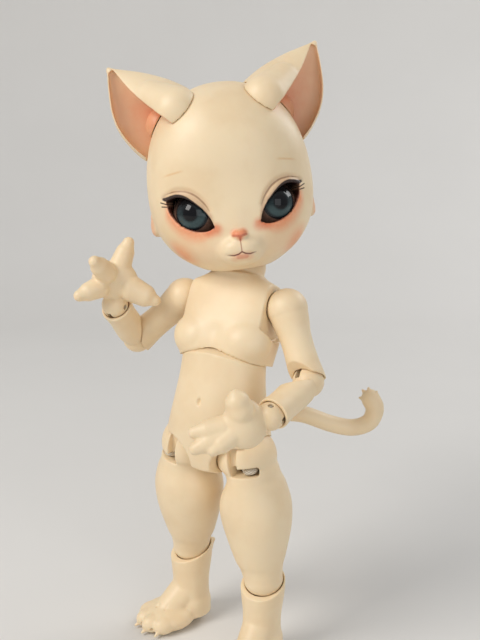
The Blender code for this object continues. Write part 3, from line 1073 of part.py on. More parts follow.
def build_stringing():
    """Elastic cords, the beads of cord at the balls' centres, hooks and pins."""
    share = NECK_HEIGHT
    cord("torso_elastic", [(0, share * back, share * up) for back, up in TORSO_CORD_SHARES],
         LEG_CORD, waist, elastic, CORD_SPACING)
    bead("waist_elastic", CORD_BEAD, waist, elastic)
    chest_neck = frame("neck_turn", waist, (0, NECK_BACK, NECK_HEIGHT))
    bead("neck_elastic", CORD_BEAD, chest_neck, elastic)
    rise = NECK_BALL + NECK_PLATE
    cord("neck_hook", [(rise * out, 0, rise * up) for out, up in NECK_HOOK_SHARES],
         HOOK_WIRE, neck, steel, WIRE_SPACING)
    reach = SHOULDER_OFFSET - ARM_BEAD - CORD_GAP
    cord("chest_arm_elastic", [(-reach, 0, SHOULDER_HEIGHT), (reach, 0, SHOULDER_HEIGHT)],
         ARM_CORD, waist, elastic, reach)
    way = tail_cord_way()
    seat = Vector((0, TAIL_SEAT_BACK, TAIL_SEAT_HEIGHT))
    cord("tail_inner_elastic", [seat + way * (ARM_BEAD + CORD_GAP), seat + way * TAIL_CORD_REACH],
         ARM_CORD, pelvis, elastic, TAIL_CORD_REACH)
    bead("tail_bead", ARM_BEAD, tail_joint, elastic)
    along = Vector(TAIL_ROUTE[1]).normalized()
    length = Vector(TAIL_ROUTE[1]).length * TAIL_BORE_SHARE - GAP
    cord("tail_elastic", [along * (ARM_BEAD + CORD_GAP), along * length], ARM_CORD, tail_joint, elastic, length)
    for side, sign in SIDES.items():
        start = ARM_BEAD + CORD_GAP
        bead(f"{side}_shoulder_bead", ARM_BEAD, shoulders[side], elastic)
        cord(f"{side}_upper_arm_elastic", [(0, 0, -start), (0, 0, -UPPER_ARM_LENGTH + start)],
             ARM_CORD, shoulders[side], elastic, UPPER_ARM_LENGTH)
        bead(f"{side}_elbow_bead", ARM_BEAD, elbows[side], elastic)
        cord(f"{side}_forearm_elastic", [(0, 0, -start), (0, 0, -FOREARM_LENGTH + WRIST_HOOK_RISE + HOOK_WIRE)],
             ARM_CORD, elbows[side], elastic, FOREARM_LENGTH)
        pin = wrist_axis(side)
        across = Euler([radians(angle) for angle in HAND_TURN[side]]).to_matrix() @ pin
        turn = degrees(atan2(across.y, across.x))
        hook_frame = frame(f"{side}_wrist_turn", elbows[side], (0, 0, -FOREARM_LENGTH), (0, 0, turn))
        loop = WRIST_PIN_RADIUS + GAP + HOOK_WIRE
        points = [(0, 0, WRIST_HOOK_RISE)] + [(0, loop * out, loop * up) for out, up in HOOK_LOOP_SHARES]
        cord(f"{side}_wrist_hook", points, HOOK_WIRE, hook_frame, steel, WIRE_SPACING)
        half = pin * (WRIST_BALL - WRIST_PIN_RADIUS)
        name = f"{side}_wrist_pin"
        part(name, rod_mesh(name, -half, half, WRIST_PIN_RADIUS, 10), wrists[side], steel)
        cord(f"{side}_hip_elastic", [(sign * HIP_OFFSET * out, HIP_OFFSET * back, HIP_WELL_HEIGHT * up)
                                     for out, back, up in HIP_CORD_SHARES], LEG_CORD, pelvis, elastic, CORD_SPACING)
        bead(f"{side}_hip_bead", CORD_BEAD, hips[side], elastic)
        points = [(sign * HIP_BALL * out, HIP_BALL * back, HIP_BALL * up)
                  for out, back, up in POCKET_CORD_SHARES]
        points.append((0, 0, -THIGH_LENGTH + CORD_BEAD + CORD_GAP))
        cord(f"{side}_leg_elastic", points, LEG_CORD, hips[side], elastic, CORD_SPACING)
        loop = FOOT_PIN_RADIUS + GAP + HOOK_WIRE
        points = [(0, 0, HOOK_WIRE)]
        points += [(0, loop * out, loop * up - FOOT_PIN_DROP) for out, up in HOOK_LOOP_SHARES]
        cord(f"{side}_foot_hook", points, HOOK_WIRE, hocks[side], steel, WIRE_SPACING)
        name = f"{side}_foot_pin"
        ends = [(reach, 0, -FOOT_PIN_DROP) for reach in (-FOOT_PIN_HALF_LENGTH, FOOT_PIN_HALF_LENGTH)]
        part(name, rod_mesh(name, ends[0], ends[1], FOOT_PIN_RADIUS, 10), hocks[side], steel)


def centre_on_floor():
    """Move the whole doll so that its box is centred over the origin and stands on z = 0."""
    bpy.context.view_layer.update()
    seen = bpy.context.evaluated_depsgraph_get()
    corners = []
    for piece in bpy.data.objects:
        if piece.type in ("MESH", "CURVE") and not piece.hide_render:
            whole = piece.evaluated_get(seen)
            mesh = whole.to_mesh()
            corners += [piece.matrix_world @ vertex.co for vertex in mesh.vertices]
            whole.to_mesh_clear()
    low = [min(point[axis] for point in corners) for axis in range(3)]
    high = [max(point[axis] for point in corners) for axis in range(3)]
    stand.location = (-(low[0] + high[0]) / 2, -(low[1] + high[1]) / 2, -low[2])


build_lower_torso()
build_chest()
for side, sign in SIDES.items():
    build_upper_arm(side, sign)
    build_forearm(side, sign)
    build_hand(side, sign)
    build_upper_leg(side, sign)
    build_lower_leg(side, sign)
head_form = build_head_form()
head_shell, head_cap = build_head(head_form)
for side, sign in SIDES.items():
    build_ear(side, sign, head_form, head_shell)
build_tail()
build_stringing()
centre_on_floor()
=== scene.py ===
# %% [markdown]
# # A ball jointed cat doll in cast resin
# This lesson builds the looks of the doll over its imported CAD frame, piece by piece.
# Every resin piece is made again at a fine scale from lofts, balls and tapers.
# Sizes in the cells are millimetres in each joint's own frame, and are turned to metres at the end.

# %%
import json
from math import cos, pi, radians, sin

import bmesh
import bpy
import numpy as np
from mathutils import Euler, Matrix, Quaternion, Vector
from mathutils.bvhtree import BVHTree
from mathutils.noise import noise as lump

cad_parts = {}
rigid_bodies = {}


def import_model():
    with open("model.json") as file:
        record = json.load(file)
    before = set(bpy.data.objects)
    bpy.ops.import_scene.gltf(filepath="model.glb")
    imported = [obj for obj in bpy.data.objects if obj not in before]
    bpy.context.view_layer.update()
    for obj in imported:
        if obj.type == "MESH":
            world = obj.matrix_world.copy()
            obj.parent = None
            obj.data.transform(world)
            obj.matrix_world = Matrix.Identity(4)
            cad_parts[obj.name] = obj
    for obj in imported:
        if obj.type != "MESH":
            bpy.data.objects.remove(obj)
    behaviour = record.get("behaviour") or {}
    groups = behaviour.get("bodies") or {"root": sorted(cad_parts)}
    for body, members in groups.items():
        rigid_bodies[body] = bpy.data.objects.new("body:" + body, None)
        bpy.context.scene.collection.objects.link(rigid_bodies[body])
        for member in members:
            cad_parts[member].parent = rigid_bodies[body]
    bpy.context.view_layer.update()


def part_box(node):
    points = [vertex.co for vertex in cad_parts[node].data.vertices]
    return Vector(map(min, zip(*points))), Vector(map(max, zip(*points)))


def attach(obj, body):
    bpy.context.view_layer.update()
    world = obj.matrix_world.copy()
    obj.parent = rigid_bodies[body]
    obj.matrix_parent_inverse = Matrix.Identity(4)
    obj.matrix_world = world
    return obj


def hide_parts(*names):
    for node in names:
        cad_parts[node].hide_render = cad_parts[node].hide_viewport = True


for item in list(bpy.data.objects):
    bpy.data.objects.remove(item, do_unlink=True)
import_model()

# %% [markdown]
# ## The joints' frames
# Each joint has a place in millimetres and a turn, so that a limb can be drawn hanging from it.
# A limb's bone runs along -Z, its hinge is X, and a palm faces -Y.

# %%
SIDES = {"left": 1, "right": -1}
FRAMES = {
    "left_elbow_joint": ((34.1941, 1.1683, 108.2455), (0.770663, -0.576469, -0.118496, -0.244377)),
    "left_hip_joint": ((14.9837, -7.4223, 78.8395), (0.996347, 0.011598, -0.083016, 0.016307)),
    "left_hock_joint": ((22.7409, -6.2088, 32.5), (0.999391, 0, 0, 0.034900)),
    "left_shoulder_joint": ((22.3470, 5.3355, 132.1470),
                            (0.961266, -0.046965, -0.234892, -0.136336)),
    "left_wrist_joint": ((31.9145, -20.5998, 101.1779),
                         (0.234068, -0.514446, -0.390995, -0.726416)),
    "left_wrist_turn": ((31.9145, -20.5998, 101.1779),
                        (0.604644, -0.478437, -0.342718, -0.536701)),
    "neck_joint": ((0.3362, 8.4632, 144.4451), (0.947794, -0.031603, -0.090283, 0.304198)),
    "neck_turn": ((0.3362, 8.4632, 144.4451), (0.989618, -0.138928, -0.014156, 0.033980)),
    "pelvis_frame": ((2.4841, -7.4223, 78.7329), (0.998621, -0.052335, -0.004261, -0.000223)),
    "right_elbow_joint": ((-40.1386, -2.0993, 113.3030), (0.324357, -0.847764, 0.365930, 0.205389)),
    "right_hip_joint": ((-10.0154, -7.4223, 78.6262), (0.993196, 0.079048, 0.055199, -0.065324)),
    "right_hock_joint": ((-14.6835, 0.2966, 32.5), (0.976296, 0, 0, -0.216440)),
    "right_shoulder_joint": ((-20.5365, 2.2744, 131.3482),
                             (0.890827, -0.174176, 0.368093, -0.201487)),
    "right_wrist_joint": ((-37.5888, -18.2056, 129.5229),
                          (0.021945, 0.343199, -0.936714, -0.065570)),
    "right_wrist_turn": ((-37.5888, -18.2056, 129.5229),
                         (0.380501, -0.923113, -0.021706, 0.051099)),
    "tail_joint": ((2.4238, 6.5939, 85.8063), (0.998621, -0.052335, -0.004261, -0.000223)),
    "waist_joint": ((2.3474, -6.7444, 94.7492), (0.989618, -0.138928, -0.014156, 0.033980)),
}


def place_of(name):
    """The matrix of a joint's frame, in millimetres."""
    where, turn = FRAMES[name]
    return Matrix.Translation(where) @ Quaternion(turn).to_matrix().to_4x4()


print("joint frames", len(FRAMES))

# %% [markdown]
# ## Lofts
# A loft skins a stack of ovals, whose rows are given from end to end and made smooth between.

# %%
def fine(rows, steps=5):
    """Rows of numbers with smooth ones put between them."""
    rows = [np.array(row, float) for row in rows]
    ends = [2 * rows[0] - rows[1]] + rows + [2 * rows[-1] - rows[-2]]
    made = []
    for before, start, end, after in zip(ends, ends[1:], ends[2:], ends[3:]):
        for step in range(steps):
            t = step / steps
            made.append(0.5 * (2 * start + (end - before) * t
                               + (2 * before - 5 * start + 4 * end - after) * t * t
                               + (3 * start - before - 3 * end + after) * t ** 3))
    return made + [rows[-1]]


def band(work, upper, lower):
    """Faces between two closed loops of points."""
    for step in range(len(lower)):
        after = (step + 1) % len(lower)
        work.faces.new((upper[step], upper[after], lower[after], lower[step]))


def loft(work, rows, sides=64, boxiness=2.0, place=None, steps=5):
    """Skin rows of (height, half width, front, back, shift x, shift y), closed at both ends."""
    rows = [tuple(row) + (0,) * (6 - len(row)) for row in rows]
    loops = []
    for height, wide, front, back, right, behind in fine(rows, steps):
        loop = []
        for step in range(sides):
            angle = 2 * pi * (step + 0.5) / sides
            across, along = cos(angle), sin(angle)
            reach = (abs(across) ** boxiness + abs(along) ** boxiness) ** (-1 / boxiness)
            deep = front if along < 0 else back
            point = Vector((right + wide * across * reach, behind + deep * along * reach, height))
            loop.append(work.verts.new(place @ point if place else point))
        loops.append(loop)
    for upper, lower in zip(loops, loops[1:]):
        band(work, upper, lower)
    work.faces.new(loops[0])
    work.faces.new(list(reversed(loops[-1])))


print("a row between two:", fine([(0, 0), (1, 2)], 2)[1])

# %% [markdown]
# ## Balls, rods and boxes
# Tapers are round ended bars, and balls can be stretched to eggs. Each tool adds its shape to a
# bmesh, so that a piece can be gathered from many.

# %%
def ball(work, radius, centre=(0, 0, 0), scale=(1, 1, 1), segments=40):
    """A ball or, with a scale, an egg."""
    place = Matrix.Translation(centre) @ Matrix.Diagonal((*scale, 1))
    bmesh.ops.create_uvsphere(work, u_segments=segments, v_segments=segments * 5 // 8,
                              radius=radius, matrix=place)


def rod(work, start, end, radius, end_radius=None, sides=40):
    """A cylinder or cone between two points."""
    start, end = Vector(start), Vector(end)
    along = end - start
    turn = along.to_track_quat("Z", "Y").to_matrix().to_4x4()
    bmesh.ops.create_cone(work, cap_ends=True, segments=sides, radius1=radius,
                          radius2=radius if end_radius is None else end_radius,
                          depth=along.length, matrix=Matrix.Translation((start + end) / 2) @ turn)


def taper(work, start, end, start_radius, end_radius, sides=24):
    """A round ended bar."""
    rod(work, start, end, start_radius, end_radius, sides)
    ball(work, start_radius, start, segments=sides)
    ball(work, end_radius, end, segments=sides)


def block(work, low, high, place=None):
    """A box between two corners, turned by a matrix."""
    low, high = Vector(low), Vector(high)
    inner = Matrix.Translation((low + high) / 2) @ Matrix.Diagonal((*(high - low), 1))
    bmesh.ops.create_cube(work, size=1, matrix=place @ inner if place else inner)


def mesh_of(work):
    """The mesh gathered in a bmesh, with its normals out."""
    bmesh.ops.recalc_face_normals(work, faces=work.faces)
    mesh = bpy.data.meshes.new("form")
    work.to_mesh(mesh)
    work.free()
    return mesh


def shape(draw, *facts, **words):
    """A mesh drawn by one of the tools above."""
    work = bmesh.new()
    draw(work, *facts, **words)
    return mesh_of(work)


def fan(along, axis, low, high, reach, half, centre=(0, 0, 0)):
    """The flat fan that a cord sweeps as its joint turns about an axis."""
    centre, along, axis = Vector(centre), Vector(along), Vector(axis)

    def ray(angle):
        return Matrix.Rotation(radians(angle), 3, axis) @ along

    low_edge, high_edge = ray(low - 90) * half, ray(high + 90) * half
    outline = [low_edge, low_edge + ray(low) * reach]
    outline += [ray(low + (high - low) * step / 24) * reach for step in range(25)]
    outline += [high_edge + ray(high) * reach, high_edge]
    work = bmesh.new()
    lower, upper = [[work.verts.new(centre + point + axis * offset) for point in outline]
                    for offset in (-half, half)]
    work.faces.new(lower)
    work.faces.new(list(reversed(upper)))
    band(work, upper, lower)
    return mesh_of(work)


print("faces of a taper", len(shape(taper, (0, 0, 0), (0, 0, 9), 3, 1).polygons))

# %% [markdown]
# ## From forms to cast skins
# A voxel remesh melts the gathered shapes into one skin and a smoothing pass rounds it.
# Sockets, bores and slots are then cut, and a second fine melt breaks the cut edges like cast
# resin.

# %%
def through(mesh, steps):
    """A new mesh after a list of modifiers, each a type and its settings."""
    piece = bpy.data.objects.new("step", mesh)
    bpy.context.collection.objects.link(piece)
    for kind, settings in steps:
        modifier = piece.modifiers.new(kind, kind)
        for key, value in settings.items():
            setattr(modifier, key, value)
    seen = piece.evaluated_get(bpy.context.evaluated_depsgraph_get())
    made = bpy.data.meshes.new_from_object(seen)
    bpy.data.objects.remove(piece)
    return made


def melt(mesh, voxel, passes):
    """One closed skin from overlapping shapes, smoothed a number of times."""
    return through(mesh, [("REMESH", {"mode": "VOXEL", "voxel_size": voxel}),
                          ("SMOOTH", {"iterations": passes, "factor": 0.5})])


def carve(mesh, tools):
    """The mesh after cuts and joins; each tool is an operation and a mesh."""
    guides, steps = [], []
    for operation, tool in tools:
        guide = bpy.data.objects.new("guide", tool)
        bpy.context.collection.objects.link(guide)
        guides.append(guide)
        steps.append(("BOOLEAN", {"operation": operation, "object": guide, "solver": "MANIFOLD"}))
    bpy.context.view_layer.update()
    made = through(mesh, steps)
    for guide in guides:
        bpy.data.objects.remove(guide)
    return made


def moved(mesh, matrix):
    """A copy of a mesh moved by a matrix."""
    made = mesh.copy()
    made.transform(matrix)
    return made


CUT, JOIN, KEEP = "DIFFERENCE", "UNION", "INTERSECT"
GAP = 0.3
print("gap between moving castings", GAP, "mm")

# %% [markdown]
# ## Handing a piece to its body
# A finished piece lies at the origin in metres. It rides on its body, stands for its CAD node,
# and gets the slot of its material.

# %%
MM = 0.001


def hand_over(name, mesh, body, node):
    """Name a mesh in metres, make its object, put it on its body and hide its CAD node."""
    mesh.name = name
    mesh.shade_smooth()
    piece = bpy.data.objects.new(name, mesh)
    bpy.context.collection.objects.link(piece)
    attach(piece, body)
    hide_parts(node)


def piece_of(name, mesh, joint, body, coat, node):
    """A finished piece from a mesh in a joint's own millimetres."""
    mesh.transform(Matrix.Scale(MM, 4) @ place_of(joint))
    mesh.materials.clear()
    mesh.materials.append(coat)
    hand_over(name, mesh, body, node)
    print(name, len(mesh.polygons), "faces")


# %% [markdown]
# ## Short calls for node trees
# A board wraps a node tree, so that adding and wiring a node is one call. Values are numbers,
# colours or the sockets of other nodes.

# %%
class Board:
    """A node tree with short calls."""

    def __init__(self, tree):
        self.tree = tree

    def put(self, value, socket):
        """Link a socket's value, or set a plain one."""
        if isinstance(value, bpy.types.NodeSocket):
            self.tree.links.new(value, socket)
        else:
            socket.default_value = value

    def node(self, kind, inputs=(), **facts):
        """A new node with its facts set and its inputs filled by name or number."""
        made = self.tree.nodes.new(kind)
        for key, value in facts.items():
            setattr(made, key, value)
        for key, value in dict(inputs).items():
            self.put(value, made.inputs[key])
        return made

    def maths(self, operation, *values, clamp=False):
        return self.node("ShaderNodeMath", enumerate(values), operation=operation,
                         use_clamp=clamp).outputs[0]

    def minus(self, value, less):
        return self.maths("SUBTRACT", value, less)

    def times(self, *values):
        """The product of any number of values."""
        made = values[0]
        for value in values[1:]:
            made = self.maths("MULTIPLY", made, value)
        return made


print("board ready")

# %% [markdown]
# ## Short calls for materials
# A coat is a board for one material. It starts with the object's own coordinates, and its calls
# make noise, soft steps, colour mixes and relief.

# %%
class Coat(Board):
    """A material with its Principled shader's inputs."""

    def __init__(self, name, roughness, **settings):
        self.material = bpy.data.materials.new(name)
        self.material.use_nodes = True
        super().__init__(self.material.node_tree)
        self.inputs = self.tree.nodes["Principled BSDF"].inputs
        for key, value in {"Roughness": roughness, **settings}.items():
            self.inputs[key.replace("_", " ")].default_value = value
        self.where = self.node("ShaderNodeTexCoord").outputs["Object"]

    def done(self, colour):
        """The finished material with its base colour."""
        self.put(colour, self.inputs["Base Color"])
        return self.material

    def soft(self, value, low, high, start=1.0, end=0.0, kind="SMOOTHSTEP"):
        """A soft step of a value from one level to another."""
        ends = {"From Min": low, "From Max": high, "To Min": start, "To Max": end, "Value": value}
        return self.node("ShaderNodeMapRange", ends, interpolation_type=kind).outputs["Result"]

    def rising(self, value, low, high):
        return self.soft(value, low, high, 0.0, 1.0)

    def noise(self, scale, detail=3.0, roughness=0.5, where=None):
        facts = {"Scale": scale, "Detail": detail, "Roughness": roughness,
                 "Vector": self.where if where is None else where}
        return self.node("ShaderNodeTexNoise", facts).outputs["Fac"]

    def mottle(self, scale, detail, start):
        """A share between a start and one that varies over the skin."""
        return self.soft(self.noise(scale, detail), 0.3, 0.7, start, 1.0, "LINEAR")

    def blend(self, amount, below, above):
        """A colour mix; colours are tuples or sockets."""
        made = self.node("ShaderNodeMix", {0: amount}, data_type="RGBA")
        colours = [socket for socket in made.inputs if socket.type == "RGBA"]
        for socket, colour in zip(colours, (below, above)):
            self.put((*colour, 1.0) if isinstance(colour, tuple) else colour, socket)
        return [socket for socket in made.outputs if socket.type == "RGBA"][0]

    def relief(self, height, strength, distance):
        bump = self.node("ShaderNodeBump", {"Height": height, "Strength": strength,
                                            "Distance": distance})
        self.put(bump.outputs["Normal"], self.inputs["Normal"])

    def attribute(self, name):
        return self.node("ShaderNodeAttribute", attribute_name=name).outputs["Fac"]


print("coat ready")

# %% [markdown]
# ## Cast resin
# The resin is a warm cream, a little waxy, with faint clouds of tone, fine pits and sanding marks.
# Other coats start from this skin and add their own painted details over it.

# %%
RESIN = (0.87, 0.695, 0.455)
RESIN_DEEP = (0.78, 0.58, 0.345)
RESIN_WORN = (0.90, 0.80, 0.63)
PIT_DEPTH = 0.00006
UNDER_SKIN = {"Weight": 0.12, "Radius": (1.0, 0.6, 0.35), "Scale": 0.0016}


def resin_skin(coat):
    """Colour of the bare casting, with its roughness and tiny relief set."""
    clouds = coat.rising(coat.noise(60.0, 4.0), 0.38, 0.66)
    grain, wear = coat.noise(2600.0, 2.0, 0.7), coat.noise(420.0, 5.0, 0.6)
    coat.put(coat.maths("MULTIPLY_ADD", wear, 0.22, 0.33), coat.inputs["Roughness"])
    coat.relief(coat.maths("MULTIPLY_ADD", wear, 0.8, grain), 0.22, PIT_DEPTH)
    for key, value in UNDER_SKIN.items():
        coat.put(value, coat.inputs[f"Subsurface {key}"])
    colour = coat.blend(coat.times(clouds, 0.55), RESIN, RESIN_DEEP)
    return coat.blend(coat.times(wear, 0.10), colour, RESIN_WORN)


bare = Coat("cast_resin", 0.42)
resin = bare.done(resin_skin(bare))
print("resin coat", len(resin.node_tree.nodes), "shader nodes")

# %% [markdown]
# ## Cut tools that the limbs share
# A ball's hollow is one gap wider than the ball, and cords run in bores through the middles.

# %%
HIP_BALL, HOCK_BALL, WAIST_BALL, NECK_BALL = 11.0, 7.4, 24.0, 9.3
SHOULDER_BALL, ELBOW_BALL, WRIST_BALL, TAIL_BALL = 7.4, 5.6, 4.9, 4.3
THIGH, UPPER_ARM, FOREARM, HOCK_RISE, NECK = 47.0, 27.0, 23.0, 32.5, 52.0
HIP_OUT, WAIST_LEVEL, SHOULDER_OUT, ARM_LEVEL = 12.5, 15.4, 21.5, 38.5
TAIL_SEAT = Vector((0, 13.2, 8.5))
TAIL_WAY = Vector((0, -13.2, WAIST_LEVEL - 8.5)).normalized()
UPPER_ARM_TURN = {"left": (14.0, -20.4, -26.1), "right": (-18.0, 46.1, -30.0)}
HAND_TURN = {"left": (-23.5, -18.0, -83.4), "right": (32.7, 21.4, 101.0)}
SHOULDER_RAISE = {"left": (-10.0, 40.0), "right": (-25.0, 24.0)}
ARM_BORE, LEG_BORE = 2.0, 3.0


def turned(angles, way):
    """A way turned by three angles in degrees."""
    return Euler([radians(angle) for angle in angles]).to_matrix() @ Vector(way)


def hollow(radius, centre=(0, 0, 0)):
    return shape(ball, radius + GAP, centre, segments=48)


def bore(start, end, radius, end_radius=None, sides=32):
    return shape(rod, start, end, radius, end_radius, sides)


def tilted_box(low, high, tilt, rise=0.0):
    place = Matrix.Translation((0, 0, rise)) @ Matrix.Rotation(radians(tilt), 4, "X")
    return shape(block, low, high, place)


def in_frame(mesh, owner, user):
    """A guide drawn in one joint's frame, carried to another's."""
    return moved(mesh, place_of(user).inverted() @ place_of(owner))


def zipped(scales, *columns):
    """Rows from columns of shares, each column with its own scale."""
    return [[scale * value for scale, value in zip(scales, row)] for row in zip(*columns)]


def dome(radius, angles, centre=0.0):
    """Rows of a loft that follow a ball between two angles from its top."""
    return [(centre + radius * cos(radians(a)), *(radius * sin(radians(a)),) * 3) for a in angles]


CHEST_WAY = turned((-10.0, -1.0, 4.0), (0, 0, 1))
print("the chest leans to", tuple(round(value, 3) for value in CHEST_WAY))

# %% [markdown]
# ## Sculpting strokes
# A stroke follows points on the skin and pushes the skin out or in, most at its middle line.

# %%
def mirrored(points):
    return [points, [(-x, y, z) for x, y, z in points]]


def off_line(spots, line):
    """The squared distance of spots from a line of points."""
    near = np.full(len(spots), 1e9)
    for start, end in zip(line, line[1:]):
        along = end - start
        share = np.clip(((spots - start) @ along) / max(along @ along, 1e-9), 0, 1)
        gone = spots - start - share[:, None] * along
        near = np.minimum(near, np.einsum("ij,ij->i", gone, gone))
    return near


def press(mesh, strokes):
    """Push a skin along its normals; a stroke is its points, radius and height."""
    spots, normals = np.empty((2, len(mesh.vertices) * 3))
    mesh.vertices.foreach_get("co", spots)
    mesh.vertices.foreach_get("normal", normals)
    spots, normals = spots.reshape(-1, 3), normals.reshape(-1, 3)
    shift = np.zeros(len(spots))
    for points, radius, height in strokes:
        line = fine(points, 6) if len(points) > 1 else points * 2
        shift += height * np.exp(-off_line(spots, np.array(line, float)) / radius ** 2)
    mesh.vertices.foreach_set("co", (spots + normals * shift[:, None]).ravel())
    mesh.update()


print("mirrored stroke", mirrored([(1, 0, 0)]))

# %% [markdown]
# ## Lower torso
# Belly, hips and seat are one casting. A dome on top carries the chest, and the legs' balls sit in
# hollows that open to the front, so that a leg can swing up.

# %%
TORSO_VOXEL = 0.50


def lower_torso():
    rows = zipped((44, 20.8, 15.4, 14.4), (1.0, 0.84, 0.72, 0.60, 0.44, 0.28, 0.14, 0.0),
                  (0.74, 0.775, 0.785, 0.80, 0.85, 0.92, 0.985, 1.0),
                  (0.76, 0.79, 0.83, 0.90, 0.98, 1.0, 0.96, 0.86),
                  (0.68, 0.70, 0.72, 0.74, 0.80, 0.88, 0.96, 1.0))
    rows += [(-4.5, 19.55, 11.7, 14.1), (-9.0, 13.7, 9.24, 11.5), (-12.5, 6.24, 5.24, 6.6)]
    mesh = melt(shape(loft, rows, 80, 2.2), TORSO_VOXEL, 16)
    middle = Vector((0, -1, 16))
    tools = [(KEEP, in_frame(shape(ball, WAIST_BALL, segments=96), "waist_joint", "pelvis_frame"))]
    cuts = [hollow(HIP_BALL, (sign * HIP_OUT, 0, 0)) for sign in (1, -1)]
    cuts += [bore((sign * 13.7, 0, -4.4), (sign * 13.7, -18.4, -4.4), 9.4, sides=64)
             for sign in (1, -1)]
    cuts += [bore(middle, middle + CHEST_WAY * 27, 5.4),
             bore((0, -1, 12.2), middle + CHEST_WAY * 3.2, 5.1)]
    cuts += [bore((sign * HIP_OUT, 0, 5.5), (sign * HIP_OUT, 0, WAIST_LEVEL), 2.6)
             for sign in (1, -1)]
    cuts += [bore((-14.1, 0, WAIST_LEVEL), (14.1, 0, WAIST_LEVEL), 3.2),
             hollow(TAIL_BALL, TAIL_SEAT), bore(TAIL_SEAT, TAIL_SEAT + TAIL_WAY * 13, 2.3),
             shape(ball, 1.1, (0, -15.1, 20.1), (0.75, 1.1, 1.35), 24)]
    return melt(carve(mesh, tools + [(CUT, cut) for cut in cuts]), TORSO_VOXEL * 0.8, 3)


piece_of("belly_and_hips", lower_torso(), "pelvis_frame", "pelvis", resin, "lower_torso")

# %% [markdown]
# ## Upper torso
# The chest is drawn over its own waist hollow. Its shoulders are flattened where the arms swing,
# and the neck ends in a ball on which the head turns.

# %%
def upper_torso():
    rows = zipped((NECK, 20.2, 12, 12),
                  (0.20, 0.30, 0.40, 0.50, 0.60, 0.70, 0.78, 0.85, 0.89, 0.925, 0.955),
                  (0.83, 0.85, 0.89, 0.93, 0.95, 0.99, 1.0, 0.95, 0.78, 0.56, 0.45),
                  (1.0, 1.04, 1.08, 1.06, 1.0, 0.88, 0.78, 0.70, 0.66, 0.68, 0.76),
                  (0.90, 0.94, 0.98, 1.02, 1.03, 1.0, 0.94, 0.84, 0.74, 0.72, 0.76))
    work = bmesh.new()
    loft(work, rows, 80, 2.6)
    for sign in (1, -1):
        ball(work, 9.8, (sign * 9.2, -5.4, 25), (1.05, 0.80, 0.92))
    neck = Vector((0, 1, NECK))
    cuts = [shape(ball, WAIST_BALL + GAP, segments=96),
            bore(neck, neck + Vector((0, 0, 12.3)), 2.8, 6.4),
            bore((0, 2, 0), neck + Vector((0, 0, 2.3)), 4.0),
            bore((-SHOULDER_OUT, 0, ARM_LEVEL), (SHOULDER_OUT, 0, ARM_LEVEL), 2.3)]
    cuts += [hollow(SHOULDER_BALL, (sign * SHOULDER_OUT, 0, ARM_LEVEL)) for sign in (1, -1)]
    cuts += [bore((sign * 15.9, 0, ARM_LEVEL), (sign * 28.9, 0, ARM_LEVEL), 12.5, sides=64)
             for sign in (1, -1)]
    tools = [(JOIN, shape(ball, NECK_BALL, neck, segments=64))] + [(CUT, cut) for cut in cuts]
    mesh = melt(carve(melt(mesh_of(work), TORSO_VOXEL, 20), tools), TORSO_VOXEL * 0.8, 3)
    crease = ([(0, -14.5, 18.5), (0, -14.5, 26.5)], 4.0, -1.1)
    press(mesh, [crease] + [(spot, 7.5, 0.9) for spot in mirrored([(9.0, -14.2, 22.5)])])
    return mesh


piece_of("chest_and_neck", upper_torso(), "waist_joint", "chest", resin, "upper_torso")

# %% [markdown]
# ## Upper arms
# The shoulder ball runs down into the arm, and the arm ends in a cup whose rim is cut on a slant,
# higher in front, so that the forearm can fold up.

# %%
ARM_VOXEL = 0.28


def upper_arm(side, sign):
    rows = dome(SHOULDER_BALL, range(6, 112, 8))
    rows += zipped((UPPER_ARM, 5.8, 5.8, 5.8), (-0.22, -0.38, -0.58, -0.78, -0.93, -1.14),
                   *[(1.12, 0.99, 0.97, 1.02, 1.10, 1.13)] * 3)
    elbow = (0, 0, -UPPER_ARM)
    axis = -sign * Vector((1, 0, 0)).cross(turned(UPPER_ARM_TURN[side], (0, 0, -1))).normalized()
    low, high = SHOULDER_RAISE[side]
    sweep = fan((-sign, 0, 0), axis, -high - 3, -low + 3, 10.4, 1.3,
                (sign * SHOULDER_OUT, 0, ARM_LEVEL))
    cuts = [hollow(ELBOW_BALL, elbow),
            tilted_box((-11, -17, -17), (11, 17, 0), -24, 1.9 - UPPER_ARM),
            tilted_box((-11, -17, -17), (11, 0, 0), 35 - 90, -UPPER_ARM),
            bore((0, 0, 0), elbow, ARM_BORE), shape(ball, 2.6),
            in_frame(sweep, "waist_joint", f"{side}_shoulder_joint")]
    mesh = shape(loft, rows, 56, steps=4)
    return melt(carve(mesh, [(CUT, cut) for cut in cuts]), ARM_VOXEL, 3)


for side, sign in SIDES.items():
    piece_of(f"{side}_arm", upper_arm(side, sign), f"{side}_shoulder_joint",
             f"{side}_upper_arm_body", resin, f"{side}_upper_arm")

# %% [markdown]
# ## Forearms
# The forearm starts in the elbow's ball and ends in a cup for the wrist. Above the ball its front
# is cut back, so that it can fold against the upper arm.

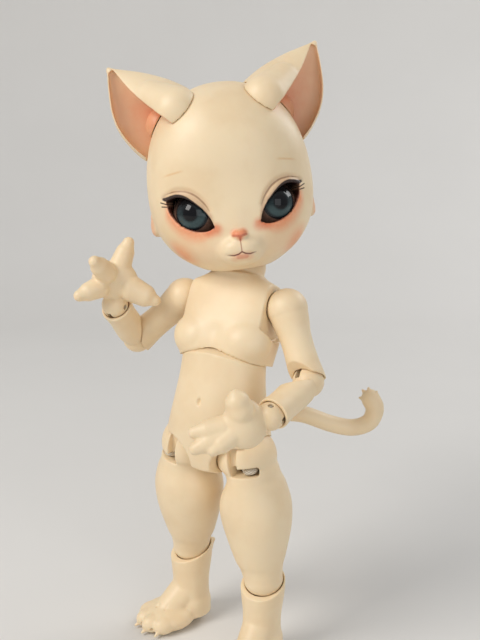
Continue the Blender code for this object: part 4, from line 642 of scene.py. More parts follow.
# %%
def forearm():
    rows = zipped((FOREARM, 6.1, 5.7, 5.7), (-0.10, -0.22, -0.36, -0.52, -0.70, -0.86, -1.06),
                  (0.80, 0.93, 0.98, 0.96, 0.96, 1.02, 1.10),
                  *[(0.86, 0.98, 1.0, 0.98, 0.96, 1.0, 1.07)] * 2)
    wrist = (0, 0, -FOREARM)
    rim = 1.2 - FOREARM
    cuts = [hollow(WRIST_BALL, wrist), shape(block, (-10, -10, rim - 10), (10, 10, rim)),
            bore((0, 0, 0), wrist, ARM_BORE), shape(ball, 2.3),
            fan((0, 0, 1), (1, 0, 0), -3, 119.5, 8.6, 1.3)]
    tools = [(CUT, tilted_box((-11, -17, 0), (11, 0, 17), 90 - 27)),
             (JOIN, shape(ball, ELBOW_BALL, segments=48))] + [(CUT, cut) for cut in cuts]
    return melt(carve(shape(loft, rows, 56), tools), ARM_VOXEL, 3)


for side in SIDES:
    piece_of(f"{side}_lower_arm", forearm(), f"{side}_elbow_joint", f"{side}_forearm_body", resin,
             f"{side}_forearm")

# %% [markdown]
# ## Hands
# A paw has a plump palm, three fingers with rounded points and a short wide thumb.
# A digit is given by how far it goes towards the thumb, the fingers and the palm.

# %%
DIGITS = {
    "left": ((0.09, 1.02, 0.26), (-0.24, 1.08, 0.26), (-0.36, 0.79, 0.08), (0.66, 0.13, -0.24)),
    "right": ((0.33, 0.87, -0.17), (-0.44, 0.63, 0.54), (-0.80, -0.21, 0.46), (0.92, -0.40, 0.27)),
}
DIGIT, KNUCKLE, TIP, THUMB_SHARE = 18.0, 4.1, 2.2, 1.2
PALM = Vector((0, 0, -9.46))
HAND_VOXEL = 0.30
WRIST_PIN = {}
for side, angles in HAND_TURN.items():
    turn = Euler([radians(angle) for angle in angles]).to_matrix().transposed()
    WRIST_PIN[side] = Vector((0, 0, 1)).cross(turn @ Vector((0, 0, 1))).normalized()


def hand(side, sign):
    work = bmesh.new()
    ball(work, 8.5, PALM, (1, 0.56, 0.90))
    taper(work, (0, 0, -2.0), (0, 0, -7.7), 3.1, 4.3)
    for number, (thumbward, fingerward, palmward) in enumerate(DIGITS[side]):
        along = Vector((sign * thumbward, -palmward, -fingerward)) * DIGIT
        root = PALM + along * 0.38
        tip = PALM + along * (1 - TIP / along.length)
        middle = root.lerp(tip, 0.55)
        knuckle = KNUCKLE * (THUMB_SHARE if number == 3 else 1)
        taper(work, root, middle, knuckle, knuckle * 0.86)
        taper(work, middle, tip, knuckle * 0.86, TIP)
    pin = WRIST_PIN[side]
    tools = [(JOIN, shape(ball, WRIST_BALL, segments=48)), (CUT, shape(ball, 2.7)),
             (CUT, bore(-pin * 7.9, pin * 7.9, 1.0)),
             (CUT, fan((0, 0, 1), pin, -48, 48, 7.9, 1.05))]
    return melt(carve(melt(mesh_of(work), HAND_VOXEL, 16), tools), HAND_VOXEL * 0.85, 2)


for side, sign in SIDES.items():
    piece_of(f"{side}_paw_hand", hand(side, sign), f"{side}_wrist_joint", f"{side}_hand_body",
             resin, f"{side}_hand")

# %% [markdown]
# ## Thighs
# The hip ball carries a slot with a pocket at its foot, in which the braided cord shows.
# The thigh narrows to a neck above the ball of the hock.

# %%
def thigh(side, sign):
    deep = (0.765, 0.80, 0.865, 0.93, 0.97, 0.95, 0.88, 0.78, 0.68, 0.592, 0.540)
    rows = dome(HIP_BALL, range(6, 108, 9))
    rows += zipped((THIGH, 13.4, 13.4, 13.4, sign * 13.4),
                   (-0.105, -0.16, -0.213, -0.277, -0.38, -0.50, -0.62, -0.74, -0.84, -0.905, -1.0),
                   (0.74, 0.72, 0.80, 0.90, 1.0, 0.98, 0.90, 0.79, 0.69, 0.598, 0.540), deep, deep,
                   (0.10, 0.14, 0.14, 0.10, 0.07, 0.06, 0.05, 0.02, 0.0, 0.0, 0.0))
    rows += dome(HOCK_BALL, range(100, 176, 9), -THIGH)
    joint, hock = f"{side}_hip_joint", f"{side}_hock_joint"
    ends = sorted((-sign * 1.75, sign * 8.2))
    sweep = fan((0, 0, 1), (1, 0, 0), -15, 48, 14, 1.75, (sign * HIP_OUT, 0, 0))
    bend = fan((0, 0, -1), (1, 0, 0), -38, 18, 11.3, 1.2)
    cuts = [shape(block, (-1.75, -14, -4.8), (1.75, -7.8, 8)),
            shape(block, (ends[0], -14, -4.8), (ends[1], 2.2, -1.4)), shape(ball, 4.4),
            in_frame(sweep, "pelvis_frame", joint), bore((0, 0, 0), (0, 0, -THIGH), LEG_BORE),
            in_frame(shape(ball, 3.4), hock, joint), in_frame(bend, hock, joint)]
    mesh = melt(shape(loft, rows, 64, steps=3), 0.4, 6)
    return melt(carve(mesh, [(CUT, cut) for cut in cuts]), 0.34, 2)


for side, sign in SIDES.items():
    piece_of(f"{side}_leg_top", thigh(side, sign), f"{side}_hip_joint", f"{side}_thigh", resin,
             f"{side}_upper_leg")

# %% [markdown]
# ## Lower legs
# A thin walled cup with a spur behind holds the ball of the hock. The shank runs down into a wide
# paw with four toes. Grooves part the toes, and each ends in a small claw.

# %%
SOLE = -HOCK_RISE
FOOT_PIN_LEVEL = -15.5


def toe(place):
    """The middle of a toe and the way that its claw points."""
    angle, out = radians(12 * place), 22 * (0.84 - 0.055 * place * place)
    middle = Vector((sin(angle) * out * 1.25, -cos(angle) * out, SOLE + 3.7))
    return middle, Vector((sin(angle), -cos(angle), -0.45)).normalized()


def lower_leg():
    deep = (1.05, 1.05, 1.06, 1.00, 0.93, 0.93, 1.0, 1.06)
    rows = zipped((HOCK_RISE, 7.9, 7.9, 7.9),
                  (0.30, 0.10, -0.10, -0.26, -0.42, -0.58, -0.74, -0.90),
                  (1.03, 1.03, 1.05, 1.00, 0.92, 0.90, 0.97, 1.04), deep, deep)
    work = bmesh.new()
    loft(work, rows, 64)
    ball(work, 8.2, (0, 0, SOLE + 7.4), (1, 1, 0.95))
    ball(work, 10.2, (0, -9.9, SOLE + 4.1), (1, 1.05, 0.52))
    taper(work, (0, -1.5, SOLE + 13.5), (0, -11.0, SOLE + 5.2), 6.4, 5.6)
    taper(work, (0, 6.3, -3.2), (0, 10.1, -1.1), 3.36, 1.05)
    toes = [toe(place) for place in (-1.5, -0.5, 0.5, 1.5)]
    for middle, way in toes:
        ball(work, 4.3, middle, (0.82, 1.15, 0.86))
    tools = []
    for (left, left_way), (right, right_way) in zip(toes, toes[1:]):
        middle, along = (left + right) / 2, (left_way + right_way).normalized()
        tools.append((CUT, shape(taper, middle - along * 5.5 + Vector((0, 0, 4.6)),
                                 middle + along * 7.5 + Vector((0, 0, -0.35)), 0.25, 0.75)))
    tools += [(JOIN, shape(taper, middle + way * 1.5, middle + way * 5.9, 1.6, 0.45))
              for middle, way in toes]
    cuts = [hollow(HOCK_BALL), tilted_box((-22, -22, 0), (22, 22, 22), 24, -2.0),
            shape(block, (-22, -44, SOLE - 22), (22, 44, SOLE)),
            bore((0, 0, 0), (0, 0, FOOT_PIN_LEVEL - 3), LEG_BORE),
            bore((-5.9, 0, FOOT_PIN_LEVEL), (5.9, 0, FOOT_PIN_LEVEL), 1.2)]
    mesh = melt(mesh_of(work), 0.34, 18)
    return melt(carve(mesh, tools + [(CUT, cut) for cut in cuts]), 0.30, 3)


for side in SIDES:
    piece_of(f"{side}_leg_foot", lower_leg(), f"{side}_hock_joint", f"{side}_foot", resin,
             f"{side}_lower_leg")

# %% [markdown]
# ## Tail
# The tail is a curved bar on a small ball. Its tip ends in four soft points like a tuft of fur.

# %%
TAIL_ROUTE = [(0, 0, 0), (3.5, 6.2, 1.0), (9.5, 10.5, 2.8), (18.7, 15.5, 3.4), (27.2, 23.1, 0),
              (34.3, 28.2, -1.1), (39.9, 31.0, 1.6), (41.7, 31.4, 7.1), (39.7, 30.9, 11.0)]
TUFT = [(4.6 * out, 4.6 * on)
        for out, on in ((-0.80, 0.30), (-0.28, 0.86), (0.30, 0.90), (0.86, 0.42))]


def tail():
    route = [Vector(point) for point in fine(TAIL_ROUTE, 4)]
    girth = fine([(0.95, 0)] + [(1.0, 0)] * 5 + [(1.02, 0), (1.08, 0), (1.12, 0)], 4)
    work = bmesh.new()
    for start, end, share in zip(route, route[1:], girth):
        taper(work, start, end, 3.3 * share[0], 3.3 * share[0])
    tip, way = route[-1], (route[-1] - route[-2]).normalized()
    sideways = way.cross(Vector((0, 1, 0))).normalized()
    tools = [(JOIN, shape(taper, tip - way, tip + sideways * out + way * on, 2.3, 0.5))
             for out, on in TUFT]
    sweep = fan(TAIL_WAY, (1, 0, 0), -15, 15, 7.3, 1.3, TAIL_SEAT)
    tools += [(JOIN, shape(ball, TAIL_BALL)), (CUT, shape(ball, 2.4)),
              (CUT, in_frame(sweep, "pelvis_frame", "tail_joint")),
              (CUT, bore((0, 0, 0), TAIL_ROUTE[1], 1.35))]
    return melt(carve(melt(mesh_of(work), 0.34, 10), tools), 0.28, 2)


piece_of("tail_casting", tail(), "tail_joint", "tail_body", resin, "tail")

# %% [markdown]
# ## Head form
# The head is one large rounded form with a short muzzle and small ears low at its sides. The eye
# openings are almonds, drawn along and up their own ways.

# %%
LID_CENTRE = (16.5, -23.65, 21.4)
LID_ALONG, LID_FACING = (0.778, 0.328, 0.535), (0.366, -0.93, 0.038)
LID = ((-1, -0.05), (-0.72, 0.36), (-0.35, 0.66), (0.05, 0.82), (0.38, 0.84), (0.68, 0.66),
       (0.88, 0.36), (1, 0.05), (0.85, -0.35), (0.55, -0.68), (0.15, -0.88), (-0.28, -0.9),
       (-0.66, -0.66), (-0.9, -0.32))
LID_WIDE, LID_HIGH = 9.9, 5.2
HEAD_HIGH, HEAD_VOXEL = 67, 0.50


def on_side(spot, sign):
    """A spot or way on the left of the head, or its mirror image."""
    return Vector((sign * spot[0], spot[1], spot[2]))


def lid_axes(sign):
    """The eye opening's centre, its way along, its way up and its way out."""
    along, outward = (on_side(way, sign).normalized() for way in (LID_ALONG, LID_FACING))
    return on_side(LID_CENTRE, sign), along, outward.cross(along) * sign, outward


def almond(work, sign):
    """A prism with the outline of an eye opening."""
    centre, along, upward, outward = lid_axes(sign)
    inner, outer = [[work.verts.new(centre + along * (LID_WIDE * a) + outward * depth
                                    + upward * (LID_HIGH * b))
                     for a, b in fine(LID + LID[:1], 6)[:-1]] for depth in (-9, 9)]
    work.faces.new(inner)
    work.faces.new(list(reversed(outer)))
    band(work, outer, inner)


def head_form():
    rows = zipped(
        (HEAD_HIGH, 30, 27, 29),
        (0.0, 0.035, 0.09, 0.16, 0.25, 0.36, 0.47, 0.58, 0.69, 0.79, 0.88, 0.95, 0.985, 1.0),
        (0.36, 0.52, 0.70, 0.84, 0.945, 0.995, 1.0, 0.975, 0.915, 0.815, 0.66, 0.45, 0.26, 0.08),
        (0.60, 0.74, 0.86, 0.92, 0.94, 0.95, 0.97, 1.0, 0.99, 0.92, 0.77, 0.53, 0.31, 0.10),
        (0.36, 0.48, 0.58, 0.68, 0.80, 0.91, 0.97, 1.0, 0.985, 0.92, 0.78, 0.55, 0.32, 0.10))
    work = bmesh.new()
    loft(work, rows, 120, 2.25)
    ball(work, 8.6, (0, -20.5, 7.7), (1.0, 0.86, 0.72), 56)
    for sign in (1, -1):
        ball(work, 4.4, (sign * 28.95, 4.64, 19.5), (0.55, 0.72, 1.1))
    return melt(mesh_of(work), HEAD_VOXEL, 22)


skull = head_form()
print("head form", len(skull.polygons), "faces")

# %% [markdown]
# ## Paint by place
# The paint is worked out in the head's own frame. These calls give a coat the joint's millimetres,
# the distance from a spot, a curve to read, and a brush stroke through flat points.

# %%
class PaintedCoat(Coat):
    """A coat painted by place in the head's frame."""

    def __init__(self, name, roughness, **settings):
        super().__init__(name, roughness, **settings)
        place, turn = FRAMES["neck_joint"]
        facts = {"Vector": self.where, "Location": Vector(place) * MM, "Scale": (MM, MM, MM),
                 "Rotation": Quaternion(turn).to_euler()}
        self.spot = self.node("ShaderNodeMapping", facts, vector_type="TEXTURE").outputs["Vector"]

    def vector(self, operation, vector, other):
        """The distance of a vector from a spot, or its dot product with a way."""
        return self.node("ShaderNodeVectorMath", {0: vector, 1: other},
                         operation=operation).outputs["Value"]

    def along(self, vector, way, middle):
        """How far a vector lies from a middle along a way."""
        return self.minus(self.vector("DOT_PRODUCT", vector, way), middle.dot(way))

    def curve(self, value, points):
        """The height of a smooth curve through points (way along, height), read at a value."""
        node = self.node("ShaderNodeFloatCurve")
        line = node.mapping.curves[0]
        while len(line.points) < len(points):
            line.points.new(0.5, 0.5)
        for point, (across, high) in zip(line.points, points):
            point.location = ((across - CURVE_LEFT) / (CURVE_RIGHT - CURVE_LEFT),
                              (high - CURVE_LOW) / (CURVE_HIGH - CURVE_LOW))
        node.mapping.update()
        self.put(self.soft(value, CURVE_LEFT, CURVE_RIGHT, 0.0, 1.0, "LINEAR"),
                 node.inputs["Value"])
        return self.maths("MULTIPLY_ADD", node.outputs["Value"], CURVE_HIGH - CURVE_LOW, CURVE_LOW)

    def length(self, across, up):
        return self.maths("SQRT", self.maths("ADD", self.times(across, across),
                                             self.times(up, up)))

    def stroke(self, across, up, points, radius, softness=0.5):
        """How much a point lies on a brush stroke through flat points."""
        nearest = None
        for start, end in zip(points, points[1:]):
            dx, dy = end[0] - start[0], end[1] - start[1]
            px, py = self.minus(across, start[0]), self.minus(up, start[1])
            reach = self.maths("ADD", self.times(px, dx), self.times(py, dy))
            share = self.maths("DIVIDE", reach, dx * dx + dy * dy, clamp=True)
            gone = self.length(self.minus(px, self.times(share, dx)),
                               self.minus(py, self.times(share, dy)))
            nearest = gone if nearest is None else self.maths("MINIMUM", nearest, gone)
        return self.soft(nearest, radius * (1 - softness), radius)


CURVE_LEFT, CURVE_RIGHT, CURVE_LOW, CURVE_HIGH = -13.0, 16.0, -8.0, 16.0
print("curves run from", CURVE_LEFT, "to", CURVE_RIGHT, "mm along the lids")

# %% [markdown]
# ## Lid curves
# Round an eye a point has a way along the lids and a way up them. Curves over the way along give
# the edges of the lids, the crease, the brow and the thickness of the lash line.

# %%
UPPER_LID = [(-13, -1.2), (-9.9, -0.26), (-7.13, 1.87), (-3.47, 3.43), (0.5, 4.26), (3.76, 4.37),
             (6.73, 3.43), (8.71, 1.95), (10.2, 0.75), (12.1, 0.45), (14, 0.4)]
LOWER_LID = [(-13, 0.6), (-9.9, -0.26), (-8.9, -1.66), (-6.53, -3.43), (-2.77, -4.68),
             (1.49, -4.58), (5.45, -3.54), (8.4, -1.82), (9.9, 0.1), (12, 0.9)]
CREASE = [(-10, 0.2), (-8, 2.2), (-5.5, 4.4), (-2.7, 5.9), (2.3, 6.75), (7.0, 5.3), (10.7, 2.7),
          (13.5, 0.3)]
BROW = [(5, 13.4), (7.5, 12.4), (10.9, 10.0), (14.9, 6.9), (16, 5.9)]
LASH = [(-10, 0.25), (-5, 0.42), (0, 0.55), (4, 0.75), (8, 1.0), (10.0, 1.05), (12.2, 0.1),
        (14, 0.0)]
STRANDS = ([(9.6, -0.7), (12.3, -1.3)], [(9.2, -1.5), (11.3, -2.4)])
LASH_INK, LID_RED, WELL_DARK = (0.022, 0.008, 0.007), (0.17, 0.045, 0.025), (0.022, 0.008, 0.006)
print("lid curves", len(UPPER_LID), len(LOWER_LID))

# %% [markdown]
# ## Eye paint
# Layers go on from the widest blush to the finest lash; one of them is a painted shade about the
# crease. Each is a mask, a strength and a colour.

# %%
def eye_paint(coat, colour, folded, deep):
    """Blush, lids, brow and lashes over the skin's colour; folded is the spot on the left side."""
    soft, rising, times = coat.soft, coat.rising, coat.times
    centre, along, upward = lid_axes(1)[:3]
    a, b = coat.along(folded, along, centre), coat.along(folded, upward, centre)
    front = soft(deep, -11.0, -9.0)
    over = coat.minus(b, coat.curve(a, UPPER_LID))
    under = coat.minus(coat.curve(a, LOWER_LID), b)
    inner, outer = rising(a, -10.4, -9.4), soft(a, 9.4, 10.6)
    mottle = coat.mottle(900.0, 3.0, 0.8)
    crease, brow = (coat.maths("ABSOLUTE", coat.minus(b, coat.curve(a, curve)))
                    for curve in (CREASE, BROW))
    below = (soft(under, 0.0, 6.0), rising(under, -1.2, -0.2), rising(a, -12.5, -9.0),
             soft(a, 7.0, 12.0), front)
    # shade: a soft brown painted shade of the eye socket on both sides of the crease, partly brown
    # lid paint
    shade = (soft(crease, 0.2, 2.6), rising(a, -9.0, -3.0), soft(a, 8.0, 12.5), front)
    line = (soft(crease, 0.10, 0.48), rising(a, -8.0, -3.0), soft(a, 9.0, 12.5), front)
    hairs = (soft(brow, 0.0, 0.85), rising(a, 6.6, 9.0), soft(a, 12.0, 15.2), front)
    lower = (soft(under, 0.15, 0.75), rising(under, -0.9, -0.5), inner, outer,
             soft(a, -6.0, 6.0, 0.35, 1), front)
    smoke = (soft(over, 0.1, 2.6), rising(over, -0.7, -0.2), rising(a, -11.0, -7.0),
             soft(a, 10.5, 13.5), front)
    corner = (coat.stroke(a, b, [(-10.8, -0.6), (-8.8, -1.9)], 3.4, 0.95), front)
    cheek = soft(coat.vector("DISTANCE", folded, (20.2, -12.6, 7.6)), 0.8, 9.0)
    glow = soft(coat.vector("DISTANCE", folded, (14.0, -19.0, 12.0)), 1.0, 13.0)
    for mask, strength, paint in (
            ((cheek,), 0.88, (0.86, 0.33, 0.14)), ((glow,), 0.34, (0.90, 0.47, 0.24)),
            (below, 0.88, (0.86, 0.27, 0.11)), (corner, 0.75, (0.72, 0.17, 0.06)),
            (shade, 0.34, (0.60, 0.31, 0.14)), (line, 0.72, (0.22, 0.085, 0.04)),
            (hairs, 0.55, (0.74, 0.43, 0.17)), (lower, 0.95, (0.10, 0.028, 0.016))):
        colour = coat.blend(times(*mask, strength, mottle), colour, paint)
    hole = times(soft(over, 0.0, 0.22), soft(under, 0.0, 0.22), inner, outer, front)
    colour = coat.blend(hole, colour, coat.blend(rising(b, -4.5, 0.5), LID_RED, WELL_DARK))
    colour = coat.blend(times(*smoke, 0.50, mottle), colour, (0.34, 0.12, 0.05))
    thick = coat.minus(over, coat.curve(a, LASH))
    lash = times(soft(thick, -0.12, 0.16), rising(over, -0.75, -0.5), inner, soft(a, 11.7, 12.4),
                 front)
    for strand in STRANDS:
        lash = coat.maths("MAXIMUM", lash, times(coat.stroke(a, b, strand, 0.26), front))
    return coat.blend(times(lash, 0.97), colour, LASH_INK)


print("eye paint ready")

# %% [markdown]
# ## Muzzle paint
# The nose and mouth are strokes on the flat view from the front, where both sides are one.

# %%
MUZZLE = (  # points, radius, softness, strength, colour
    ([(0.0, 11.9), (0.0, 12.9), (1.5, 13.0)], 2.2, 0.85, 0.92, (0.80, 0.22, 0.09)),
    ([(0.0, 10.6), (0.0, 11.9), (2.2, 12.3)], 0.62, 0.7, 0.7, (0.50, 0.10, 0.05)),
    ([(0.0, 5.2), (2.4, 5.0)], 2.4, 0.9, 0.50, (0.84, 0.38, 0.20)),
    ([(0.0, 4.9), (1.4, 5.0)], 1.15, 0.7, 0.60, (0.70, 0.22, 0.13)),
    ([(0.0, 10.8), (0.0, 6.7)], 0.30, 0.6, 0.75, (0.36, 0.10, 0.05)))
MOUTH = [(0.0, 6.6), (1.1, 5.95), (2.7, 5.6), (4.8, 5.95)]


def face_coat():
    coat = PaintedCoat("painted_face", 0.42)
    parts = coat.node("ShaderNodeSeparateXYZ", {0: coat.spot}).outputs
    wide, deep, up = coat.maths("ABSOLUTE", parts[0]), parts[1], parts[2]
    folded = coat.node("ShaderNodeCombineXYZ", {0: wide, 1: deep, 2: up}).outputs[0]
    colour = eye_paint(coat, resin_skin(coat), folded, deep)
    mottle, snout = coat.mottle(900.0, 3.0, 0.8), coat.soft(deep, -23.5, -22.0)
    for points, radius, softness, strength, paint in MUZZLE:
        mask = coat.stroke(wide, up, points, radius, softness)
        colour = coat.blend(coat.times(mask, snout, strength, mottle), colour, paint)
    mouth = coat.times(coat.stroke(wide, up, MOUTH, 0.36, 0.7), snout,
                       coat.soft(wide, 2.6, 5.1, 1.0, 0.30))
    colour = coat.blend(coat.times(mouth, mottle), colour, (0.16, 0.03, 0.02))
    ear = coat.times(coat.rising(wide, 28.8, 30.4), coat.soft(up, 24.5, 26.0),
                     coat.rising(up, 13.0, 14.5), coat.rising(deep, -2.0, 0.5))
    return coat.done(coat.blend(coat.times(ear, 0.7, mottle), colour, (0.82, 0.38, 0.22)))


painted_face = face_coat()
print("face coat", len(painted_face.node_tree.nodes), "shader nodes")

# %% [markdown]
# ## Blush in the ears
# Each ear mesh carries an attribute that says how far inside the leaf a point lies. The blush is
# the ear's own paint, made deeper towards the foot and the inner fold as painted shade.

# %%
def ear_coat():
    coat = Coat("blushed_ear", 0.42)
    # Ear paint on the inner skin, deepened towards the foot and the inner fold as painted shade.
    blush = coat.times(coat.attribute("inside"), coat.mottle(300.0, 4.0, 0.75), 0.95)
    return coat.done(coat.blend(blush, resin_skin(coat), (0.78, 0.30, 0.15)))


blushed_ear = ear_coat()
print("ear coat", len(blushed_ear.node_tree.nodes), "shader nodes")

# %% [markdown]
# ## Strokes on the face
# Strokes give the eyes lids and creases, and the muzzle a nose, a split lip and a mouth.

# %%
PAIRS = (  # points on the left, radius, height
    ([(24.4, -16.9, 27.9), (22.4, -18.8, 29.2), (18.6, -21.6, 29.9), (14.6, -23.5, 28.6),
      (11.2, -24.4, 25.4), (9.2, -24.7, 21.6)], 0.75, -0.55),
    ([(22.6, -18.5, 27.6), (18.8, -21.3, 28.2), (15.0, -23.2, 26.9), (11.8, -24.2, 24.0)],
     1.0, 0.42),
    ([(9.6, -24.4, 16.0), (13.6, -22.9, 15.8), (17.2, -21.0, 16.0), (20.6, -19.2, 18.2),
      (23.2, -17.6, 22.4)], 0.9, 0.30),
    ([(2.4, -27.6, 9.0), (4.2, -26.2, 8.0)], 2.2, 0.55),
    ([(0.0, -28.3, 6.7), (1.2, -28.0, 6.0), (2.6, -27.3, 5.6), (5.2, -25.7, 5.9)], 0.42, -0.42),
    ([(31.0, 3.6, 18.6), (31.0, 4.4, 21.0)], 1.3, -0.9),
    ([(0.6, -29.2, 11.7), (2.3, -27.8, 12.1)], 0.38, -0.30))
FACE = [(side, radius, height) for points, radius, height in PAIRS for side in mirrored(points)]
FACE += [([(0, -29.2, 11.6), (0, -28.9, 9.2), (0, -28.4, 6.9)], 0.40, -0.42),
         ([(-1.5, -27.3, 4.4), (0, -27.6, 4.3), (1.5, -27.3, 4.4)], 0.9, 0.40),
         ([(-1.6, -25.9, 2.4), (0, -26.1, 2.2), (1.6, -25.9, 2.4)], 1.1, -0.30),
         ([(0, -24.0, 16.5), (0, -25.2, 20.5)], 3.2, 0.35)]
print("face strokes", len(FACE))

# %% [markdown]
# ## Head shell and cap
# The skull is hollow and opens at the back, where a cap is held by two small magnets.
# The eyes sit in wells behind the lids, and the neck's ball turns in a hollow underneath.

# %%
CAVITY = ((0, 1.5, 39.2), (25.8, 23.5, 24.5))
TILT = radians(21.8)
CUT_SPOT = Vector((0, 18.5, 40.5))
FACING = Vector((0, cos(TILT), sin(TILT)))
CUT_DOWN = Vector((0, sin(TILT), -cos(TILT)))
CAP_MAGNETS = [CUT_SPOT + CUT_DOWN + Vector((sign * 18.6, 0, 0)) for sign in (1, -1)]
EAR_RAY = {side: Vector((sign * 0.743, 0.019, 0.669)).normalized() for side, sign in SIDES.items()}
EYE_SPOT, EYE_WELL, EAR_MAGNET_BORE = (12.6, -14.2, 21.4), 9.3, 2.3


def middle_of(node, joint):
    """The middle of a CAD node in a joint's own millimetres."""
    low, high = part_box(node)
    return place_of(joint).inverted() @ ((Vector(low) + Vector(high)) * 500)


EAR_SEAT = {side: middle_of(f"{side}_head_magnet", "neck_joint") + EAR_RAY[side] * 0.9
            for side in SIDES}


def back_half(gap):
    """A large box on the cap's side of the cut."""
    where = (0, CUT_SPOT.y + gap * cos(TILT), CUT_SPOT.z + gap * sin(TILT))
    place = Matrix.Translation(where) @ Matrix.Rotation(TILT, 4, "X")
    return shape(block, (-100, 0, -100), (100, 100, 100), place)


def skull_tools(half, magnet_ends):
    """Cuts and joins for the shell or the cap, with seats for the magnets that hold them."""
    tools = [(CUT, shape(ball, 1, CAVITY[0], CAVITY[1], 72))]
    for spot in CAP_MAGNETS:
        boss = bore(spot - FACING * 4.6, spot + FACING * 4.6, 2.9)
        tools.append((JOIN, carve(boss, [(KEEP, skull.copy())])))
    tools.append(half)
    return tools + [(CUT, bore(spot + FACING * magnet_ends[0], spot + FACING * magnet_ends[1], 1.6))
                    for spot in CAP_MAGNETS]


def head_shell():
    nose = shape(ball, 2.4, (0, -26.4, 12.4), (1.05, 0.95, 0.66), 40)
    snout = melt(carve(skull.copy(), [(JOIN, nose)]), 0.42, 4)
    cuts = [hollow(NECK_BALL), bore((0, 0, -9.3), (0, 0, 3.2), 13.2, sides=64),
            bore((0, 0, 0), (0, 0, 17.1), 2.6)]
    for sign in (1, -1):
        eye = on_side(EYE_SPOT, sign)
        cuts += [shape(ball, EYE_WELL, eye, segments=56),
                 bore(eye, eye + Vector((0, 14.4, 0)), EYE_WELL, sides=48), shape(almond, sign)]
    cuts += [bore(EAR_SEAT[side] - EAR_RAY[side] * 1.8, EAR_SEAT[side] + EAR_RAY[side] * 3,
                  EAR_MAGNET_BORE) for side in SIDES]
    tools = skull_tools((CUT, back_half(0)), (-1.8, 3.0)) + [(CUT, cut) for cut in cuts]
    mesh = melt(carve(snout, tools), 0.54, 2)
    press(mesh, FACE)
    return mesh


cap = melt(carve(skull.copy(), skull_tools((KEEP, back_half(GAP)), (-3.0, 2.1))), 0.5, 2)
piece_of("face_and_skull", head_shell(), "neck_joint", "head", painted_face, "head_shell")
piece_of("back_cap", cap, "neck_joint", "cap", resin, "head_cap")

# %% [markdown]
# ## Cat ears
# Each ear is a hollow leaf that opens forward, with a rounded lobe at its foot that is shaped to
# the skull with a small gap. The room inside stops short of the magnet.

# %%
EAR = (  # rise, half width, front and back as shares
    (-0.24, 0.86, 0.92, 0.96), (-0.12, 0.97, 1.0, 1.0), (0.0, 1.02, 0.98, 1.0),
    (0.13, 1.01, 0.86, 0.97), (0.26, 0.94, 0.71, 0.90), (0.40, 0.83, 0.57, 0.79),
    (0.54, 0.68, 0.43, 0.64), (0.68, 0.50, 0.30, 0.47), (0.81, 0.30, 0.18, 0.31),
    (0.92, 0.13, 0.08, 0.16), (1.0, 0.05, 0.03, 0.07))
EAR_WIDE, EAR_FRONT, EAR_BACK, EAR_RIM, ROOM_TOP = 15.5, 20.5, 7.2, 1.0, 0.93
BLUSH_REACH = 0.45


def ear_rows(sign, length):
    """Loft rows for the skin of an ear and for the room inside it."""
    skin, room = [], []
    for rise, wide, ahead, rear in EAR:
        pull = 0.8 * max(0.0, 1 - abs(rise - 0.08) / 0.4)
        half, front, back = EAR_WIDE * wide - pull, EAR_FRONT * ahead, EAR_BACK * rear
        bow = sign * ((1 - rise) * rise * 2.4 - pull)
        skin.append((length * rise, half, front, back, bow))
        if rise <= ROOM_TOP:
            lap = 1.2 + 1.6 * max(0.0, 0.55 - max(rise, 0.0))
            room.append((length * rise, (half - EAR_RIM + lap) / 2, front * 1.25, back * 0.40,
                         bow + sign * (half - EAR_RIM - lap) / 2))
    return skin, room


def cat_ear(side, sign):
    base, tip = Vector((sign * 20, 2, 54)), Vector((sign * 38.5, 3, 78))
    length, up = (tip - base).length, (tip - base).normalized()
    across = Vector((up.z, 0, -up.x)).normalized()
    turn = Matrix((across, up.cross(across), up)).transposed().to_4x4()
    place = Matrix.Translation(base) @ turn
    skin, room = ear_rows(sign, length)
    work = bmesh.new()
    loft(work, skin, 90, place=place)
    taper(work, (sign * 23.5, -5.0, 64.0), (sign * 15.4, -13.4, 57.4), 6.2, 8.4, 40)
    seat = skull.copy()
    press(seat, [([(0, 0, 40)], 1e4, GAP)])
    ray, magnet = EAR_RAY[side], EAR_SEAT[side]
    inner = carve(shape(loft, room, 72, 3.2, place=place),
                  [(CUT, shape(ball, 6.6, magnet - ray * 1.9))])
    tools = [(CUT, inner), (CUT, seat),
             (CUT, bore(magnet - ray * 3, magnet + ray * 2.1, EAR_MAGNET_BORE))]
    mesh = melt(carve(melt(mesh_of(work), 0.40, 40), tools), 0.32, 3)
    tree = BVHTree.FromPolygons([vertex.co for vertex in inner.vertices],
                                [face.vertices for face in inner.polygons])
    inside = mesh.attributes.new("inside", "FLOAT", "POINT")
    for vertex, value in zip(mesh.vertices, inside.data):
        far = tree.find_nearest(vertex.co)[3]
        rise = (vertex.co - base).dot(up) / length
        edge = min(1.0, max(0.0, (sign * (vertex.co - base).dot(across) - 1.0) / 13.0))
        # The blush is ear paint on the inner skin, made deeper towards the foot and the inner fold
        # as painted shade.
        value.value = max(0.0, 1 - far / BLUSH_REACH) * (1.2 - rise) * (1 - 0.78 * edge)
    return mesh


for side, sign in SIDES.items():
    piece_of(f"{side}_ear_leaf", cat_ear(side, sign), "neck_joint", f"{side}_ear", blushed_ear,
             f"{side}_cat_ear")

# %% [markdown]
# ## Glass eyes
# A glass eye is a half ball with a clear bulge over the iris. The iris is worked out round its own
# gaze line: a dark ring, fine rays, a black pupil and a lighter crescent below. The upper part is
# darkened by a painted shadow of the lid, and the white is painted dark brown as painted shade.

# %%
EYE_GAZE = (0.33, -0.94, 0.02)
EYE_RADIUS, PUPIL, IRIS = 9.0, 2.2, 5.6
BLACK, RING, LID_SHADOW = (0.003, 0.003, 0.004), (0.006, 0.008, 0.010), (0.008, 0.006, 0.006)


